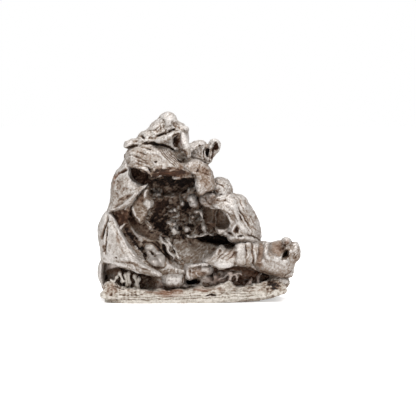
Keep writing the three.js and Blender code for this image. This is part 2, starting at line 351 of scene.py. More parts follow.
def line(path, wide, high, tone=0.0, rust=0.0, cliff=0.0):
    """A ridge, or a groove if `high` is below zero. With a cliff of 1 its right side drops sharply,
    and with -1 its left side does."""

    def mark(points):
        low, top = np.min(path, axis=0) - 3 * wide, np.max(path, axis=0) + 3 * wide
        close = np.all((points[:, [0, 2]] > low) & (points[:, [0, 2]] < top), axis=1)
        height = np.zeros(len(points))
        if close.any():
            away, share = along_line(points[close], path)
            reach = wide * np.where(away * cliff < 0, 1 - 0.75 * abs(cliff), 1)
            height[close] = np.exp(-((away / reach) ** 2)) * np.clip(np.sin(share * np.pi) * 2.5, 0, 1)
        return height * high, height * tone, height * rust

    return mark


def spot(at, radii, high, tone=0.0, rust=0.0, turn=0.0, sharp=2.0):
    """A knob, or a pit if `high` is below zero: an ellipse whose height falls off as
    exp(-r^(2 sharp))."""

    def mark(points):
        height = np.exp(-(elliptic(points, at, radii, turn) ** (2 * sharp)))
        return height * high, height * tone, height * rust

    return mark


def ring(at, radii, turn, wide, high, tone):
    """A ridge or a groove along an ellipse, `wide` as a share of its radii."""

    def mark(points):
        height = np.exp(-(((elliptic(points, at, radii, turn) - 1) / wide) ** 2))
        return height * high, height * tone, height * 0

    return mark


def lamellae(at, radii, turn, pitch, high, tone=0.0, wander=1.6):
    """Parallel plates: a wave across the direction `turn`, sharpened to narrow grooves, inside an
    ellipse. The wave wanders with slow noise."""

    def mark(points):
        inside = np.clip(1.6 - 1.3 * elliptic(points, at, radii, turn), 0, 1)
        c, s = np.cos(np.radians(turn)), np.sin(np.radians(turn))
        drift = wander * fractal(points, 5.0, 77, 2)
        across = points[:, 2] * c - points[:, 0] * s + drift
        wave = abs(np.sin(np.pi * across / pitch)) ** 0.6
        broken = np.clip(0.7 + 0.9 * noise(points, 2.6, 91), 0.1, 1)
        depth = (1 - wave) * inside * broken
        return -depth * high, -depth * tone, depth * 0

    return mark


def marked(skin, marks, side=-1):
    """Presses marks into the front of a skin, or into its back with a side of 1, or into both with 0.
    A slight wobble keeps the lines from looking ruled."""
    normals = skin.normals()
    slope, start = FRONT_FACING
    ahead = np.clip(side * normals[:, 1] * slope + start, 0, 1) if side else np.ones(len(skin.points))
    wobble = 0.4 * np.stack([fractal(skin.points, 3.2, 11 + 5 * k, 2) for k in range(3)], 1)
    sample = skin.points + wobble
    rough = np.clip(1 + 0.6 * noise(skin.points, 1.5, 61), 0.35, 1.6)
    push = np.zeros(len(skin.points))
    for mark in marks:
        high, tone, rust = mark(sample)
        push += high * ahead * rough
        skin.tone += 0.8 * tone * ahead * rough
        skin.rust += rust * ahead
    way = normals * 0.6 + np.array([0, 0.4 * (side or -1), 0]) * (ahead > 0)[:, None]
    skin.push(push, way)


def plates(skin, way, pitch, high, seed):
    """Thin parallel crystal plates that end at the surface in steps: a saw-tooth of the distance
    along `way`, which drifts with slow noise and fades in and out in patches."""
    way = np.array(way, float) / np.linalg.norm(way)
    drift = 1.1 * fractal(skin.points, 6.0, seed, 2) + 0.25 * noise(skin.points, 1.2, seed + 4)
    saw = (skin.points @ way + drift) / pitch
    tooth = 1 - abs(2 * (saw - np.floor(saw)) ** 1.8 - 1)
    patch = np.clip(0.2 + 1.2 * noise(skin.points, 4.5, seed + 2), 0, 1)
    skin.push((tooth - 0.5) * high * patch)
    skin.tone += (tooth - 0.5) * 0.12 * patch


def weathered(skin, seed, rough=1.0, stretch=(1, 1, 1), way=(0.4, 0.1, 1), pitch=1.3, calm=(), grit=1.0):
    """Slow swells, round hollows between crests, flat facets, thin plates, a few pits and a fine
    grain, all pushed along the normal. Each is a height times a noise of one size, both in
    millimetres. Inside the ellipses in `calm` the skin stays smooth."""
    rough = np.full(len(skin.points), float(rough))
    for at, radii, turn in calm:
        rough *= 1 - 0.85 * np.exp(-(elliptic(skin.points, at, radii, turn) ** 6))
    where = skin.points * np.array(stretch) + seed
    bent = where + 0.5 * np.stack([noise(where, 2.2, seed + 11 + k) for k in range(3)], 1)
    swell = SWELL_HIGH * noise(where, SWELL_WIDE, seed)
    crest = CREST_HIGH * (0.42 - creased(bent, CREST_WIDE, seed + 1, 1))
    large, rim, value = facets(bent, FACET_WIDE, seed + 12)
    small, _, shade = facets(bent, CHIP_WIDE, seed + 13)
    faceted = swell + crest + FACET_HIGH * large + CHIP_HIGH * small * grit - 0.06 * rim
    skin.push(faceted * rough)
    plates(skin, way, pitch, PLATE_HIGH * rough, seed + 4)
    patch = noise(skin.points, 4.5, seed + 8) > 0
    pit = np.clip(noise(skin.points, PIT_WIDE, seed + 6) - 0.42, 0, 1) * patch
    grain_high = GRAIN_HIGH * fractal(skin.points, GRAIN_WIDE, seed + 5, 2) * rough * grit
    skin.push(grain_high - PIT_DEEP * pit * rough)
    skin.tone += 0.16 * fractal(skin.points, SHADE_WIDE, seed + 9, 4, 0.6) - 0.7 * pit
    skin.tone += (0.07 * value + 0.07 * shade * grit - 0.04 * rim) * np.minimum(rough, 1)


def finished(skin, node, material, base):
    """Writes a skin as the object that stands for a CAD node. The tone of a place rises where it
    stands proud of its surroundings, as rubbed wear and a painted highlight, and falls in its
    recesses, as oxide and painted shade. Faces that look up are lightened a little, as wear and
    painted light, and faces that look down are darkened, as a brown film and painted shade."""
    # painted light and shade by slope: faces that look up are lightened and faces that look down darkened,
    # along with wear and brown film
    down = skin.blurred(skin.normals()[:, 2], 6)
    tone = base + skin.tone + np.where(down > 0, UP_FACING_LIGHT_AND_WEAR, DOWN_FACING_FILM_AND_SHADE) * down
    # ridges lightened as wear and painted highlight, recesses darkened as oxide and painted shade
    for steps, reach, share in PROUD_WEAR_LIGHT_AND_SHADE:
        proud = skin.proud(steps, reach)
        tone += share * np.where(proud > 0, proud, 0.8 * proud)
    mesh = skin.mesh
    mesh.vertices.foreach_set("co", ((skin.points + [0, PLANE_Y, 0]) * MM).ravel())
    for name, values in (("tone", tone), ("rust", skin.rust)):
        layer = mesh.attributes.new(name, "FLOAT", "POINT")
        layer.data.foreach_set("value", np.clip(values, 0, 1).astype(np.float32))
    mesh.name = f"{node}_skin"
    mesh.polygons.foreach_set("use_smooth", np.ones(len(mesh.polygons), bool))
    mesh.update()
    piece = bpy.data.objects.new(f"{node}_skin", mesh)
    bpy.context.scene.collection.objects.link(piece)
    mesh.materials.clear()
    mesh.materials.append(material)
    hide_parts(node)
    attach(piece, "root")


def grain(node, surfaces, marks, material, base, seed, relief, width=None, **weather):
    """A whole grain: its skin, the marks on its front, weather all over and its finish."""
    skin = Skin(surfaces, width or cell())
    marked(skin, marks)
    weathered(skin, seed, relief * rough(), **weather)
    finished(skin, node, material, base)


# ---- Materials ----


def add(nodes, kind, links=None, **settings):
    """A node of one kind with its settings. A key that starts with in_ sets an input by its name or
    its number, and `links` joins an input to another node's output."""
    node = nodes.new(kind)
    for key, value in settings.items():
        if key.startswith("in_"):
            name = key[3:].replace("_", " ")
            node.inputs[int(name) if name.isdigit() else name].default_value = value
        else:
            setattr(node, key, value)
    for name, output in (links or {}).items():
        nodes.id_data.links.new(output, node.inputs[name])
    return node


def ramp(nodes, value, stops):
    """A colour ramp from a list of (place, colour)."""
    node = add(nodes, "ShaderNodeValToRGB", {"Fac": value})
    elements = node.color_ramp.elements
    while len(elements) < len(stops):
        elements.new(0.5)
    for element, (place, colour) in zip(elements, stops):
        element.position = place
        element.color = colour
    return node.outputs["Color"]


def weathered_iron(name, pale, middle, gloss=0.42, metal=0.3):
    """Nickel-iron with a thin skin of patina. Proud places are rubbed to pale metal, flats are grey,
    and hollows hold brown-black oxide, all read from the skin's tone, which also carries painted
    highlight and painted shade. Rust lies over it in a few places."""
    colours = bpy.context.scene.iron_colours
    material = bpy.data.materials.get(name)
    if material:
        return material
    material = bpy.data.materials.new(name)
    material.use_nodes = True
    nodes = material.node_tree.nodes
    nodes.clear()
    place = add(nodes, "ShaderNodeTexCoord").outputs["Object"]
    tone = add(nodes, "ShaderNodeAttribute", attribute_name="tone").outputs["Fac"]
    rust = add(nodes, "ShaderNodeAttribute", attribute_name="rust").outputs["Fac"]
    stain = add(
        nodes, "ShaderNodeTexNoise", {"Vector": place},
        in_Scale=1 / STAIN_SIZE, in_Detail=5.0, in_Roughness=0.7,
    )
    grain = add(
        nodes, "ShaderNodeTexNoise", {"Vector": place},
        in_Scale=1 / SPECK_SIZE, in_Detail=4.0, in_Roughness=0.8,
    )
    pits = add(nodes, "ShaderNodeTexVoronoi", {"Vector": place}, in_Scale=1 / PIT_APART)
    blotch = add(
        nodes, "ShaderNodeMapRange", {"Value": stain.outputs["Fac"]},
        in_From_Min=0.3, in_From_Max=0.7, in_To_Min=-0.15, in_To_Max=0.13,
    )
    fleck = add(
        nodes, "ShaderNodeMapRange", {"Value": grain.outputs["Fac"]},
        in_From_Min=0.34, in_From_Max=0.66, in_To_Min=-0.24, in_To_Max=0.18,
    )
    both = add(nodes, "ShaderNodeMath", {0: blotch.outputs[0], 1: fleck.outputs[0]}, operation="ADD")
    mixed = add(nodes, "ShaderNodeMath", {0: tone, 1: both.outputs[0]}, operation="ADD")
    stops = [
        (0.0, tuple(colours.oxide_black)),
        (0.2, tuple(colours.oxide_brown)),
        (0.42, tuple(colours.stain)),
        (0.66, srgb(middle)),
        (0.95, srgb(pale)),
    ]
    body = ramp(nodes, mixed.outputs[0], stops)
    rusty = add(
        nodes, "ShaderNodeMath", {0: rust, 1: stain.outputs["Fac"]}, operation="MULTIPLY", use_clamp=True,
    )
    blend = add(nodes, "ShaderNodeMix", {0: rusty.outputs[0], 6: body}, data_type="RGBA")
    blend.inputs[7].default_value = tuple(colours.rust)
    dull = add(nodes, "ShaderNodeMapRange", {"Value": mixed.outputs[0]}, in_To_Min=0.75, in_To_Max=gloss)
    rough = add(
        nodes, "ShaderNodeMath", {0: pits.outputs["Distance"], 1: grain.outputs["Fac"]}, operation="ADD",
    )
    bump = add(nodes, "ShaderNodeBump", {"Height": rough.outputs[0]}, in_Strength=0.6, in_Distance=0.0003)
    shader = add(
        nodes,
        "ShaderNodeBsdfPrincipled",
        {
            "Base Color": blend.outputs[2], "Roughness": dull.outputs["Result"],
            "Normal": bump.outputs["Normal"],
        },
        in_Metallic=metal,
    )
    add(nodes, "ShaderNodeOutputMaterial", {"Surface": shader.outputs["BSDF"]})
    return material


def pale_patina():
    return weathered_iron("pale_iron_patina", "#d3cdc8", "#a69c93")


def grey_patina():
    return weathered_iron("grey_iron_patina", "#cfc9c4", "#9b9087", gloss=0.38, metal=0.4)


def dark_oxide():
    return weathered_iron("brown_black_oxide", "#cec7c1", "#94887c", gloss=0.34, metal=0.4)


def cream_crust():
    return weathered_iron("cream_weathered_iron", "#d8d1c8", "#b1a89c", gloss=0.55, metal=0.15)


# ---- Settings ----


def colour(name, description, code):
    return FloatVectorProperty(
        name=name, description=description, subtype="COLOR", size=4, min=0, max=1, default=srgb(code)
    )


class IronColours(bpy.types.PropertyGroup):
    """The colours that every kind of iron surface here shares."""

    oxide_black: colour("Oxide black", "Oxide in the deepest hollows", "#1d120b")
    oxide_brown: colour("Oxide brown", "Oxide on the walls of the hollows", "#4d3627")
    stain: colour("Stain", "The brown film between oxide and patina", "#84705f")
    rust: colour("Rust", "Rust in the caves and under the brow", "#85583e")


class IronRelief(bpy.types.PropertyGroup):
    """How finely and how strongly the surface is worked."""

    cell: FloatProperty(
        name="Cell", description="Width of a skin's quads, in millimetres", default=0.26, min=0.2,
    )
    rough: FloatProperty(
        name="Roughness", description="Strength of the weathered relief", default=1.0, min=0,
    )
    pitch: FloatProperty(
        name="Rib pitch", description="Distance between the shell's ribs, in millimetres",
        default=1.4, min=0.5,
    )


class Studio(bpy.types.PropertyGroup):
    """The floor, the lights and the camera."""

    floor: colour("Floor", "The pale floor", "#ffffff")
    key: FloatProperty(name="Key light", description="Power of the main light", default=1.4, unit="POWER")
    lens: FloatProperty(name="Lens", description="Focal length", default=200.0, subtype="DISTANCE_CAMERA")


# ---- Grains ----

# the long dark fissure between the crown and the brow
FISSURE = line(
    [
        (-17.6, 47.4), (-14.6, 47.5), (-12.3, 47.1), (-10, 46.8), (-8, 46.1), (-6.7, 44.5), (-5.4, 43.1),
        (-3.6, 42),
    ],
    0.42, -1.1, -1.1,
)


def cell():
    return bpy.context.scene.iron_relief.cell


def rough():
    return bpy.context.scene.iron_relief.rough


class BuildBasePlate(bpy.types.Operator):
    """Build the long cream plate that the specimen stands on"""

    bl_idname = "meteorite.base_plate"
    bl_label = "Base plate"

    def execute(self, context):
        outline = [
            (-28.2, 1.4), (-27.9, 3.2), (-22, 3.4), (-10, 3.6), (4, 4.4), (12, 4.4), (18, 4.2), (22, 5.2),
            (25.6, 5.4), (26.6, 3.4), (24.6, 1.6), (19, 0.6), (8, -0.4), (-8, -1.8), (-25.6, -1.6),
        ]
        crust = [
            (-28, 1.4), (-28, 4.4), (-26, 5.2), (-24.6, 4), (-22, 4.4), (-20, 3.4), (-16, 4), (-13.6, 3.2),
            (-11.8, 4.3), (-9.6, 3.6), (-6, 4.4), (-3.4, 3.8), (0.6, 5), (2.2, 4.4), (5, 4.8), (7.2, 5.9),
            (8, 4.8), (9.5, 6.8), (11, 5), (13, 4.2), (15, 4.9), (18.4, 4.4), (20.7, 6.5), (22.4, 5.4),
            (25.4, 5.6), (25.6, 2.4), (12, 0.8), (-12, 0.3),
        ]
        body = [
            lobe(outline, (-2, 1.6), -15, 10.6, (0.06, 0), 0.42),
            lobe(crust, (0, 2.4), -14.6, -9.4, (0.06, 0.3), 0.6),
            boulder((-26, -9.5, 4), (2.4, 4.6, 2.2)),
            boulder((23.2, -8, 5.2), (2.6, 3.6, 2.1)),
        ]
        skin = Skin(body, cell())
        strata = [
            line([(-27, z), (-12, z + 0.3), (4, z + 0.7), (19, z + 1.5)], 0.22, -0.24, -0.14)
            for z in (0.9, 1.7, 2.4)
        ]
        marked(skin, strata, side=0)
        marked(skin, [
            line([(2, 2.3), (5.4, 2.5)], 0.22, -0.6, -0.6),
            spot((-8, 3.2), (4.2, 1.3), -0.2, -0.25, 0.9),
            spot((1, 4.2), (2.4, 0.9), 0, -0.2, 0.5),
            spot((22.9, 5.7), (1.9, 1.5), -0.5, -0.45),
            spot((-25.8, 3.4), (1.8, 1.8), -0.2, -0.3, 0.3),
            line([(-16, 3.6), (-12, 3.2), (-8, 3.5), (-4, 3.4)], 0.4, -0.3, -0.22, 0.4),
            line([(-2, 4), (3, 4), (7, 4.6)], 0.35, -0.2, -0.16, 0.35),
        ])
        weathered(skin, 3, 0.6 * rough(), (0.35, 1, 1.3), (0.03, 0, 1), 0.9)
        x, y, z = skin.points.T
        ragged = np.clip((z - 2.6) / 1.2, 0, 1) * (y < 8) * np.clip(0.6 + noise(skin.points, 1.6, 171), 0, 1)
        speck = np.clip(noise(skin.points, 1.0, 172) + 0.25, 0, 1) * np.clip((z - 0.8) / 1.5, 0, 1)
        speck *= np.exp(-(((x + 23) / 7) ** 4)) + np.exp(-(((x - 23) / 3.4) ** 4))
        skin.tone -= 0.26 * ragged + 0.45 * speck
        skin.rust += 0.7 * ragged * np.clip(0.3 + noise(skin.points, 4.0, 173), 0, 1)
        skin.push(0.35 * ragged * noise(skin.points, 1.3, 174) - 0.3 * speck)
        under = np.clip(1 - skin.points[:, 2] / 0.6, 0, 1)
        skin.points[:, 2] = np.maximum(skin.points[:, 2] * (1 - under * 0.9), 0.0)
        finished(skin, "base_plate", cream_crust(), 0.84)
        return {"FINISHED"}


class BuildCaveRibs(bpy.types.Operator):
    """Build the pale branching ribs in the left cave"""

    bl_idname = "meteorite.cave_ribs"
    bl_label = "Cave ribs"

    def execute(self, context):
        feet = [
            (-26, 3.4, 6.4), (-24.9, 3.2, 7.4), (-23.3, 3.2, 8.6), (-22, 3, 8.2), (-20.4, 3, 8.6),
            (-19, 3, 7.6), (-17.6, 3, 6.8),
        ]
        random = np.random.default_rng(4)
        ribs = [boulder((-21.4, -8.6, 3.2), (5.2, 3, 0.9))]
        for x, low, high in feet:
            bend, lean, fork, tip = random.uniform(-0.7, 0.7, 4)
            middle = (low + high) / 2 + 0.6 * fork
            path = [
                (x, -9.4, low), (x + bend, -10.8, middle), (x + lean, -10.6, high),
                (x + lean + 0.4 * tip, -9, high + 0.3),
            ]
            ribs.append(blade(path, 0.55, 1.4))
            for at, size in ((path[1], 0.62), (path[2], 0.5), ((x + 0.9 * tip, -10.6, low + 0.6), 0.75)):
                ribs.append(boulder(at, (size, 0.9, size * random.uniform(0.7, 1.5))))
        skin = Skin(ribs, FINE_CELL)
        weathered(skin, 5, 0.45 * rough())
        skin.tone += 0.2 * np.clip((skin.points[:, 2] - 5) / 4, -0.3, 1)
        finished(skin, "cave_ribs", cream_crust(), 0.8)
        return {"FINISHED"}


class BuildCore(bpy.types.Operator):
    """Build the body of the specimen, with the big hollow, the caves and the back"""

    bl_idname = "meteorite.core"
    bl_label = "Core"

    # the pale twigs in the right cave, in the plane of the outlines
    twigs = (
        [(7.8, 7.2), (9.2, 8.6), (10.4, 8.2), (12.6, 9)],
        [(9.2, 8.6), (9.6, 7.2), (8.8, 5.8)],
        [(11, 8.6), (11.8, 7.2), (11.4, 6.2)],
        [(12.6, 9), (13.2, 7.8)], [(5.6, 6.2), (6.8, 7.2), (7.8, 7.2)],
    )

    # ellipses where the walls are smooth: the alcove and the wall beside it, the floor bowl, the slit,
    # the left wall with its eye-shaped ring, and the mouths of the caves
    smooth = (
        ((7.6, 24.6), (2.6, 3.6), 0), ((3.4, 25), (1.9, 3.6), 0), ((-1.6, 15), (6.4, 3.8), -8),
        ((6, 18), (7, 1.6), 0),
        ((-13, 13.5), (3.7, 2.4), -45), ((-18, 21.6), (3.6, 2.6), -20), ((-12, 15.6), (6, 2.6), -48),
        ((-26, 9.4), (3, 2.4), 0),
    )

    def execute(self, context):
        outline = [
            (-28.6, 14), (-28.8, 21), (-26.4, 27), (-25.2, 33), (-24, 37.6), (-22.4, 42), (-20.8, 45.6),
            (-16, 48.4), (-8, 48.8), (-2.6, 45), (3, 37.4), (8.4, 32.2), (13.4, 29), (16.8, 23), (18.2, 17),
            (22.6, 12), (24.6, 6.8), (23.2, 3.4), (0, 1.6), (-26.4, 2), (-28.4, 8),
        ]
        hollows = [
            ((-8, 27), (13.6, 9.6), 20, 11.5),
            ((-3, 18), (9.5, 8), 0, 8.5),
            ((-8, 34.5), (9, 3.6), 5, 13),
            ((6.8, 25.4), (3.6, 4.2), -20, 6),
            ((3, 23.8), (2.8, 3.2), 10, 4),
            ((6.2, 18.2), (8.2, 1.7), -4, 12),
            ((-16.5, 18), (7.5, 4.6), -38, 6),
            ((-17.6, 37.6), (4.4, 2.8), -35, 4.6),
            ((-20.4, 6.8), (8.2, 3.4), -8, 4.6),
            ((12.4, 7.4), (10.5, 3.2), -6, 5),
            ((-2.2, 5.8), (2.2, 0.9), 0, 6),
        ]
        body = lobe(outline, (-5, 20), -10.5, 14, (0.02, 0.02), 0.5, hollows, fine=1.7)
        scooped = self.scooped(*body)
        skin = Skin([scooped, *self.inner_blades(), *self.slivers(scooped[0])], CORE_COARSER * cell())
        marked(skin, self.inner_marks())
        marked(skin, self.back_marks(), side=1)
        skin.tone += 0.12 * (skin.points[:, 1] > 0)
        # darker towards the back of the big hollow: brown oxide and painted shade where the hollow deepens
        depth = np.clip((skin.points[:, 1] + 9) / 7, 0, 1) * (skin.points[:, 1] < 6)
        skin.tone -= 0.4 * depth
        self.crystals(skin)
        weathered(skin, 8, 0.9 * rough(), calm=self.smooth)
        finished(skin, "core_mass", dark_oxide(), 0.66)
        return {"FINISHED"}

    def scooped(self, points, faces):
        """Thumb-shaped scoops on the back, each a ball whose inside is pushed back onto its wall."""
        scoops = [
            ((-14, 18.5, 30), 8.2), ((6, 17.6, 24), 7.6), ((-4, 18.8, 13), 8), ((-24, 15, 18), 6.6),
            ((2, 17, 33), 5.6),
            ((16, 16.4, 13), 6.4), ((-8, 16.8, 41), 7), ((-3, 19.4, 23), 6.4), ((-18, 18, 10), 6.8),
            ((-20, 16, 38), 5),
        ]
        wobble = points + 0.9 * np.stack([noise(points, 4.0, 51 + k) for k in range(3)], 1)
        outer = np.hypot(points[:, 0] / 22, (points[:, 2] - 22) / 26) ** 2
        points[:, 1] -= 1.6 * np.clip((points[:, 1] - 5) / 6, 0, 1) * outer
        for middle, radius in scoops:
            away = np.linalg.norm(wobble - np.array(middle), axis=1)
            inside = 1.35 * np.clip(radius - away, 0, None) * (points[:, 1] > 5)
            points[:, 1] -= inside
        return points, faces

    def back_marks(self):
        """Fissures, ridges and plated patches on the back."""
        return [
            line([(-26, 27.4), (-23, 24.4), (-18.6, 25), (-14.4, 21.6)], 0.35, -1.2, -0.5),
            line([(-7, 20), (-4.4, 24), (-5, 29), (-2.4, 33), (1, 35)], 0.3, -1.0, -0.5),
            line([(2, 17.6), (7, 14.8), (10.6, 17.2), (16, 16.4)], 0.3, -1.0, -0.5),
            line([(-22, 5), (-17, 7.8), (-11.6, 6), (-8, 8.4)], 0.35, -0.8, -0.5),
            line([(-22, 36), (-15, 36.6), (-8, 34.8), (-3, 36)], 0.5, 0.9, 0.15, 0, 0.6),
            line([(-11, 22), (-12, 14), (-10.6, 7)], 0.5, 0.8, 0.15, 0, 0.6),
            line([(4, 17), (6, 11), (12, 8)], 0.5, 0.8, 0.15, 0, 0.6),
            lamellae((8, 26), (7, 5), -50, 1.5, 0.5, 0.25, 1.2),
            lamellae((-18, 14), (7, 6), 35, 1.7, 0.45, 0.22, 1.4),
            lamellae((-12, 40), (8, 4), 12, 1.4, 0.45, 0.22, 1.2),
            spot((-14, 30), (3.6, 3), 0, -0.2, 0.35),
            spot((-4, 13), (4, 3), 0, -0.18, 0.4),
            spot((8, 23), (2.8, 2.6), 0, -0.16, 0.3),
        ]

    def inner_blades(self):
        """Thin walls and lips that stand up from the floor and the walls of the big hollow, the
        branches in the right cave, which grow at random places, and the root of the scroll arm."""
        random = np.random.default_rng(12)
        branches = []
        for x in random.uniform(3, 19.5, 9):
            a, b, low, high = *random.normal(0, 0.9, 2), random.uniform(3.6, 5.4), random.uniform(7, 9)
            path = [(x, -7.8, low), (x + a, -9.2, (low + high) / 2), (x + a + b, -8, high)]
            branches.append(blade(path, random.uniform(0.45, 0.9), 1.6))
        for path in self.twigs:
            branches.append(blade([(x, -10.6, z) for x, z in path], 0.6, 1.6))
        return [
            *branches,
            # the bright lip above the slit, and the thin-walled cells over it
            blade([(-2.6, -3.4, 18.9), (0.4, -5, 19.3), (2.6, -5.6, 20), (4.6, -4, 19.6)], 0.8, 2.4),
            blade([(1.6, -3.6, 23.4), (1.8, -4.6, 22), (2.6, -4.6, 20.4)], 1.2, 2.2),
            blade([(-1.2, -1.8, 26.6), (0.8, -2.6, 26.4), (1.6, -2.8, 24.4), (2, -3.4, 22.6)], 0.6, 2.4),
            blade([(-1.4, -1.8, 26.4), (-1.8, -2.6, 24.2), (-0.6, -3, 22.4)], 0.5, 2.2),
            blade([(-4.8, -2, 22.6), (-3.4, -3.4, 21.4), (-1.6, -3.2, 21.2)], 1.5, 2.6),
            blade([(-9.6, -1.4, 23.2), (-8.2, -2.8, 22.9), (-6.6, -2, 23)], 1.2, 2.6),
            blade([(-9.4, -1.6, 21.4), (-7.8, -3, 20.9), (-5.4, -2.4, 19.6)], 1.4, 2.8),
            blade([(-7.8, -0.8, 27.8), (-6.7, -1.8, 27), (-6.2, -0.8, 25.6)], 0.6, 2),
            # the ribbons on the lower left wall
            blade(
                [
                    (-11.4, -4.6, 19.8), (-10.8, -5.6, 18), (-9.2, -6, 16.4), (-9, -6.4, 14.8),
                    (-7.4, -6.6, 13.4), (-7.6, -6.6, 12),
                ],
                0.7, 2.2,
            ),
            blade(
                [(-10.2, -4.2, 19), (-8.6, -5.4, 17.4), (-6.8, -5.8, 15), (-6.2, -6, 13.2), (-4.4, -6, 12)],
                0.5, 2,
            ),
            blade([(-13, -4.6, 18.6), (-11.6, -5.6, 17.6), (-10.6, -5.8, 15.8)], 0.5, 1.8),
            blade([(-15.8, -5.6, 24), (-14.9, -6.2, 22.8), (-14.2, -5.4, 21.6)], 1.1, 2),
            boulder((24, -5, 5.6), (3.4, 5, 2.4)),
        ]

    def crystals(self, skin):
        """Flat crystal faces on the walls of the hollow and the caves. Each has its own tone, and here
        and there a thin bright edge, a painted highlight."""
        inside = np.clip((skin.points[:, 1] + 7) / 3, 0, 1) * (skin.points[:, 1] < 6)
        for at, radii, turn in self.smooth:
            inside *= 1 - 0.8 * np.exp(-(elliptic(skin.points, at, radii, turn) ** 6))
        bent = skin.points + 0.5 * np.stack([fractal(skin.points, 2.4, 141 + k, 2) for k in range(3)], 1)
        # the plates are long one way and thin the other, in two tilted sets
        sets = ((0.55, 1.0, 0.35, 3.4, 0.5, 0.2), (-0.8, 0.7, 1.1, 1.8, 0.14, 0.08))
        for slant, x, z, size, high, share in sets:
            c, s = np.cos(slant), np.sin(slant)
            turned = np.stack([bent @ (c, 0, s) * x, bent[:, 1] * 0.7, bent @ (-s, 0, c) / z * 0.8], 1)
            height, border, value = facets(turned, size, int(90 + 10 * size))
            skin.push(height * high * inside)
            # painted highlight: a thin bright edge on some facet borders
            painted_edge_glint = np.clip(3 * noise(skin.points, 2.0, 97) - 0.3, 0, 1)
            skin.tone += (share * value + 0.26 * border * painted_edge_glint) * inside

    def slivers(self, points):
        """Small crystal plates that stand out of the hollow's walls, at random places and angles."""
        random = np.random.default_rng(5)
        wall = points[points[:, 1] < 5]
        plates = []
        for _ in range(14):
            turn, reach, slant = random.uniform(0, 2 * np.pi), random.uniform(0.1, 1) ** 0.5, random.normal(
                -0.7, 0.7,
            )
            x = -5.5 + 10.5 * reach * np.cos(turn)
            z = 24.5 + 8.2 * reach * np.sin(turn) - 0.3 * np.cos(turn) * 6 * reach
            y = wall[np.argmin(np.hypot(wall[:, 0] - x, wall[:, 2] - z)), 1] - 0.3
            half = random.uniform(0.5, 1.5)
            a, b = half * np.cos(slant), half * np.sin(slant)
            path = [(x - a, y + 0.3, z - b), (x, y - 0.4, z), (x + a, y + 0.3, z + b)]
            plates.append(
                blade(path, random.uniform(0.5, 1.3), random.uniform(1.2, 2.2), count=12, around=8)
            )
        return plates

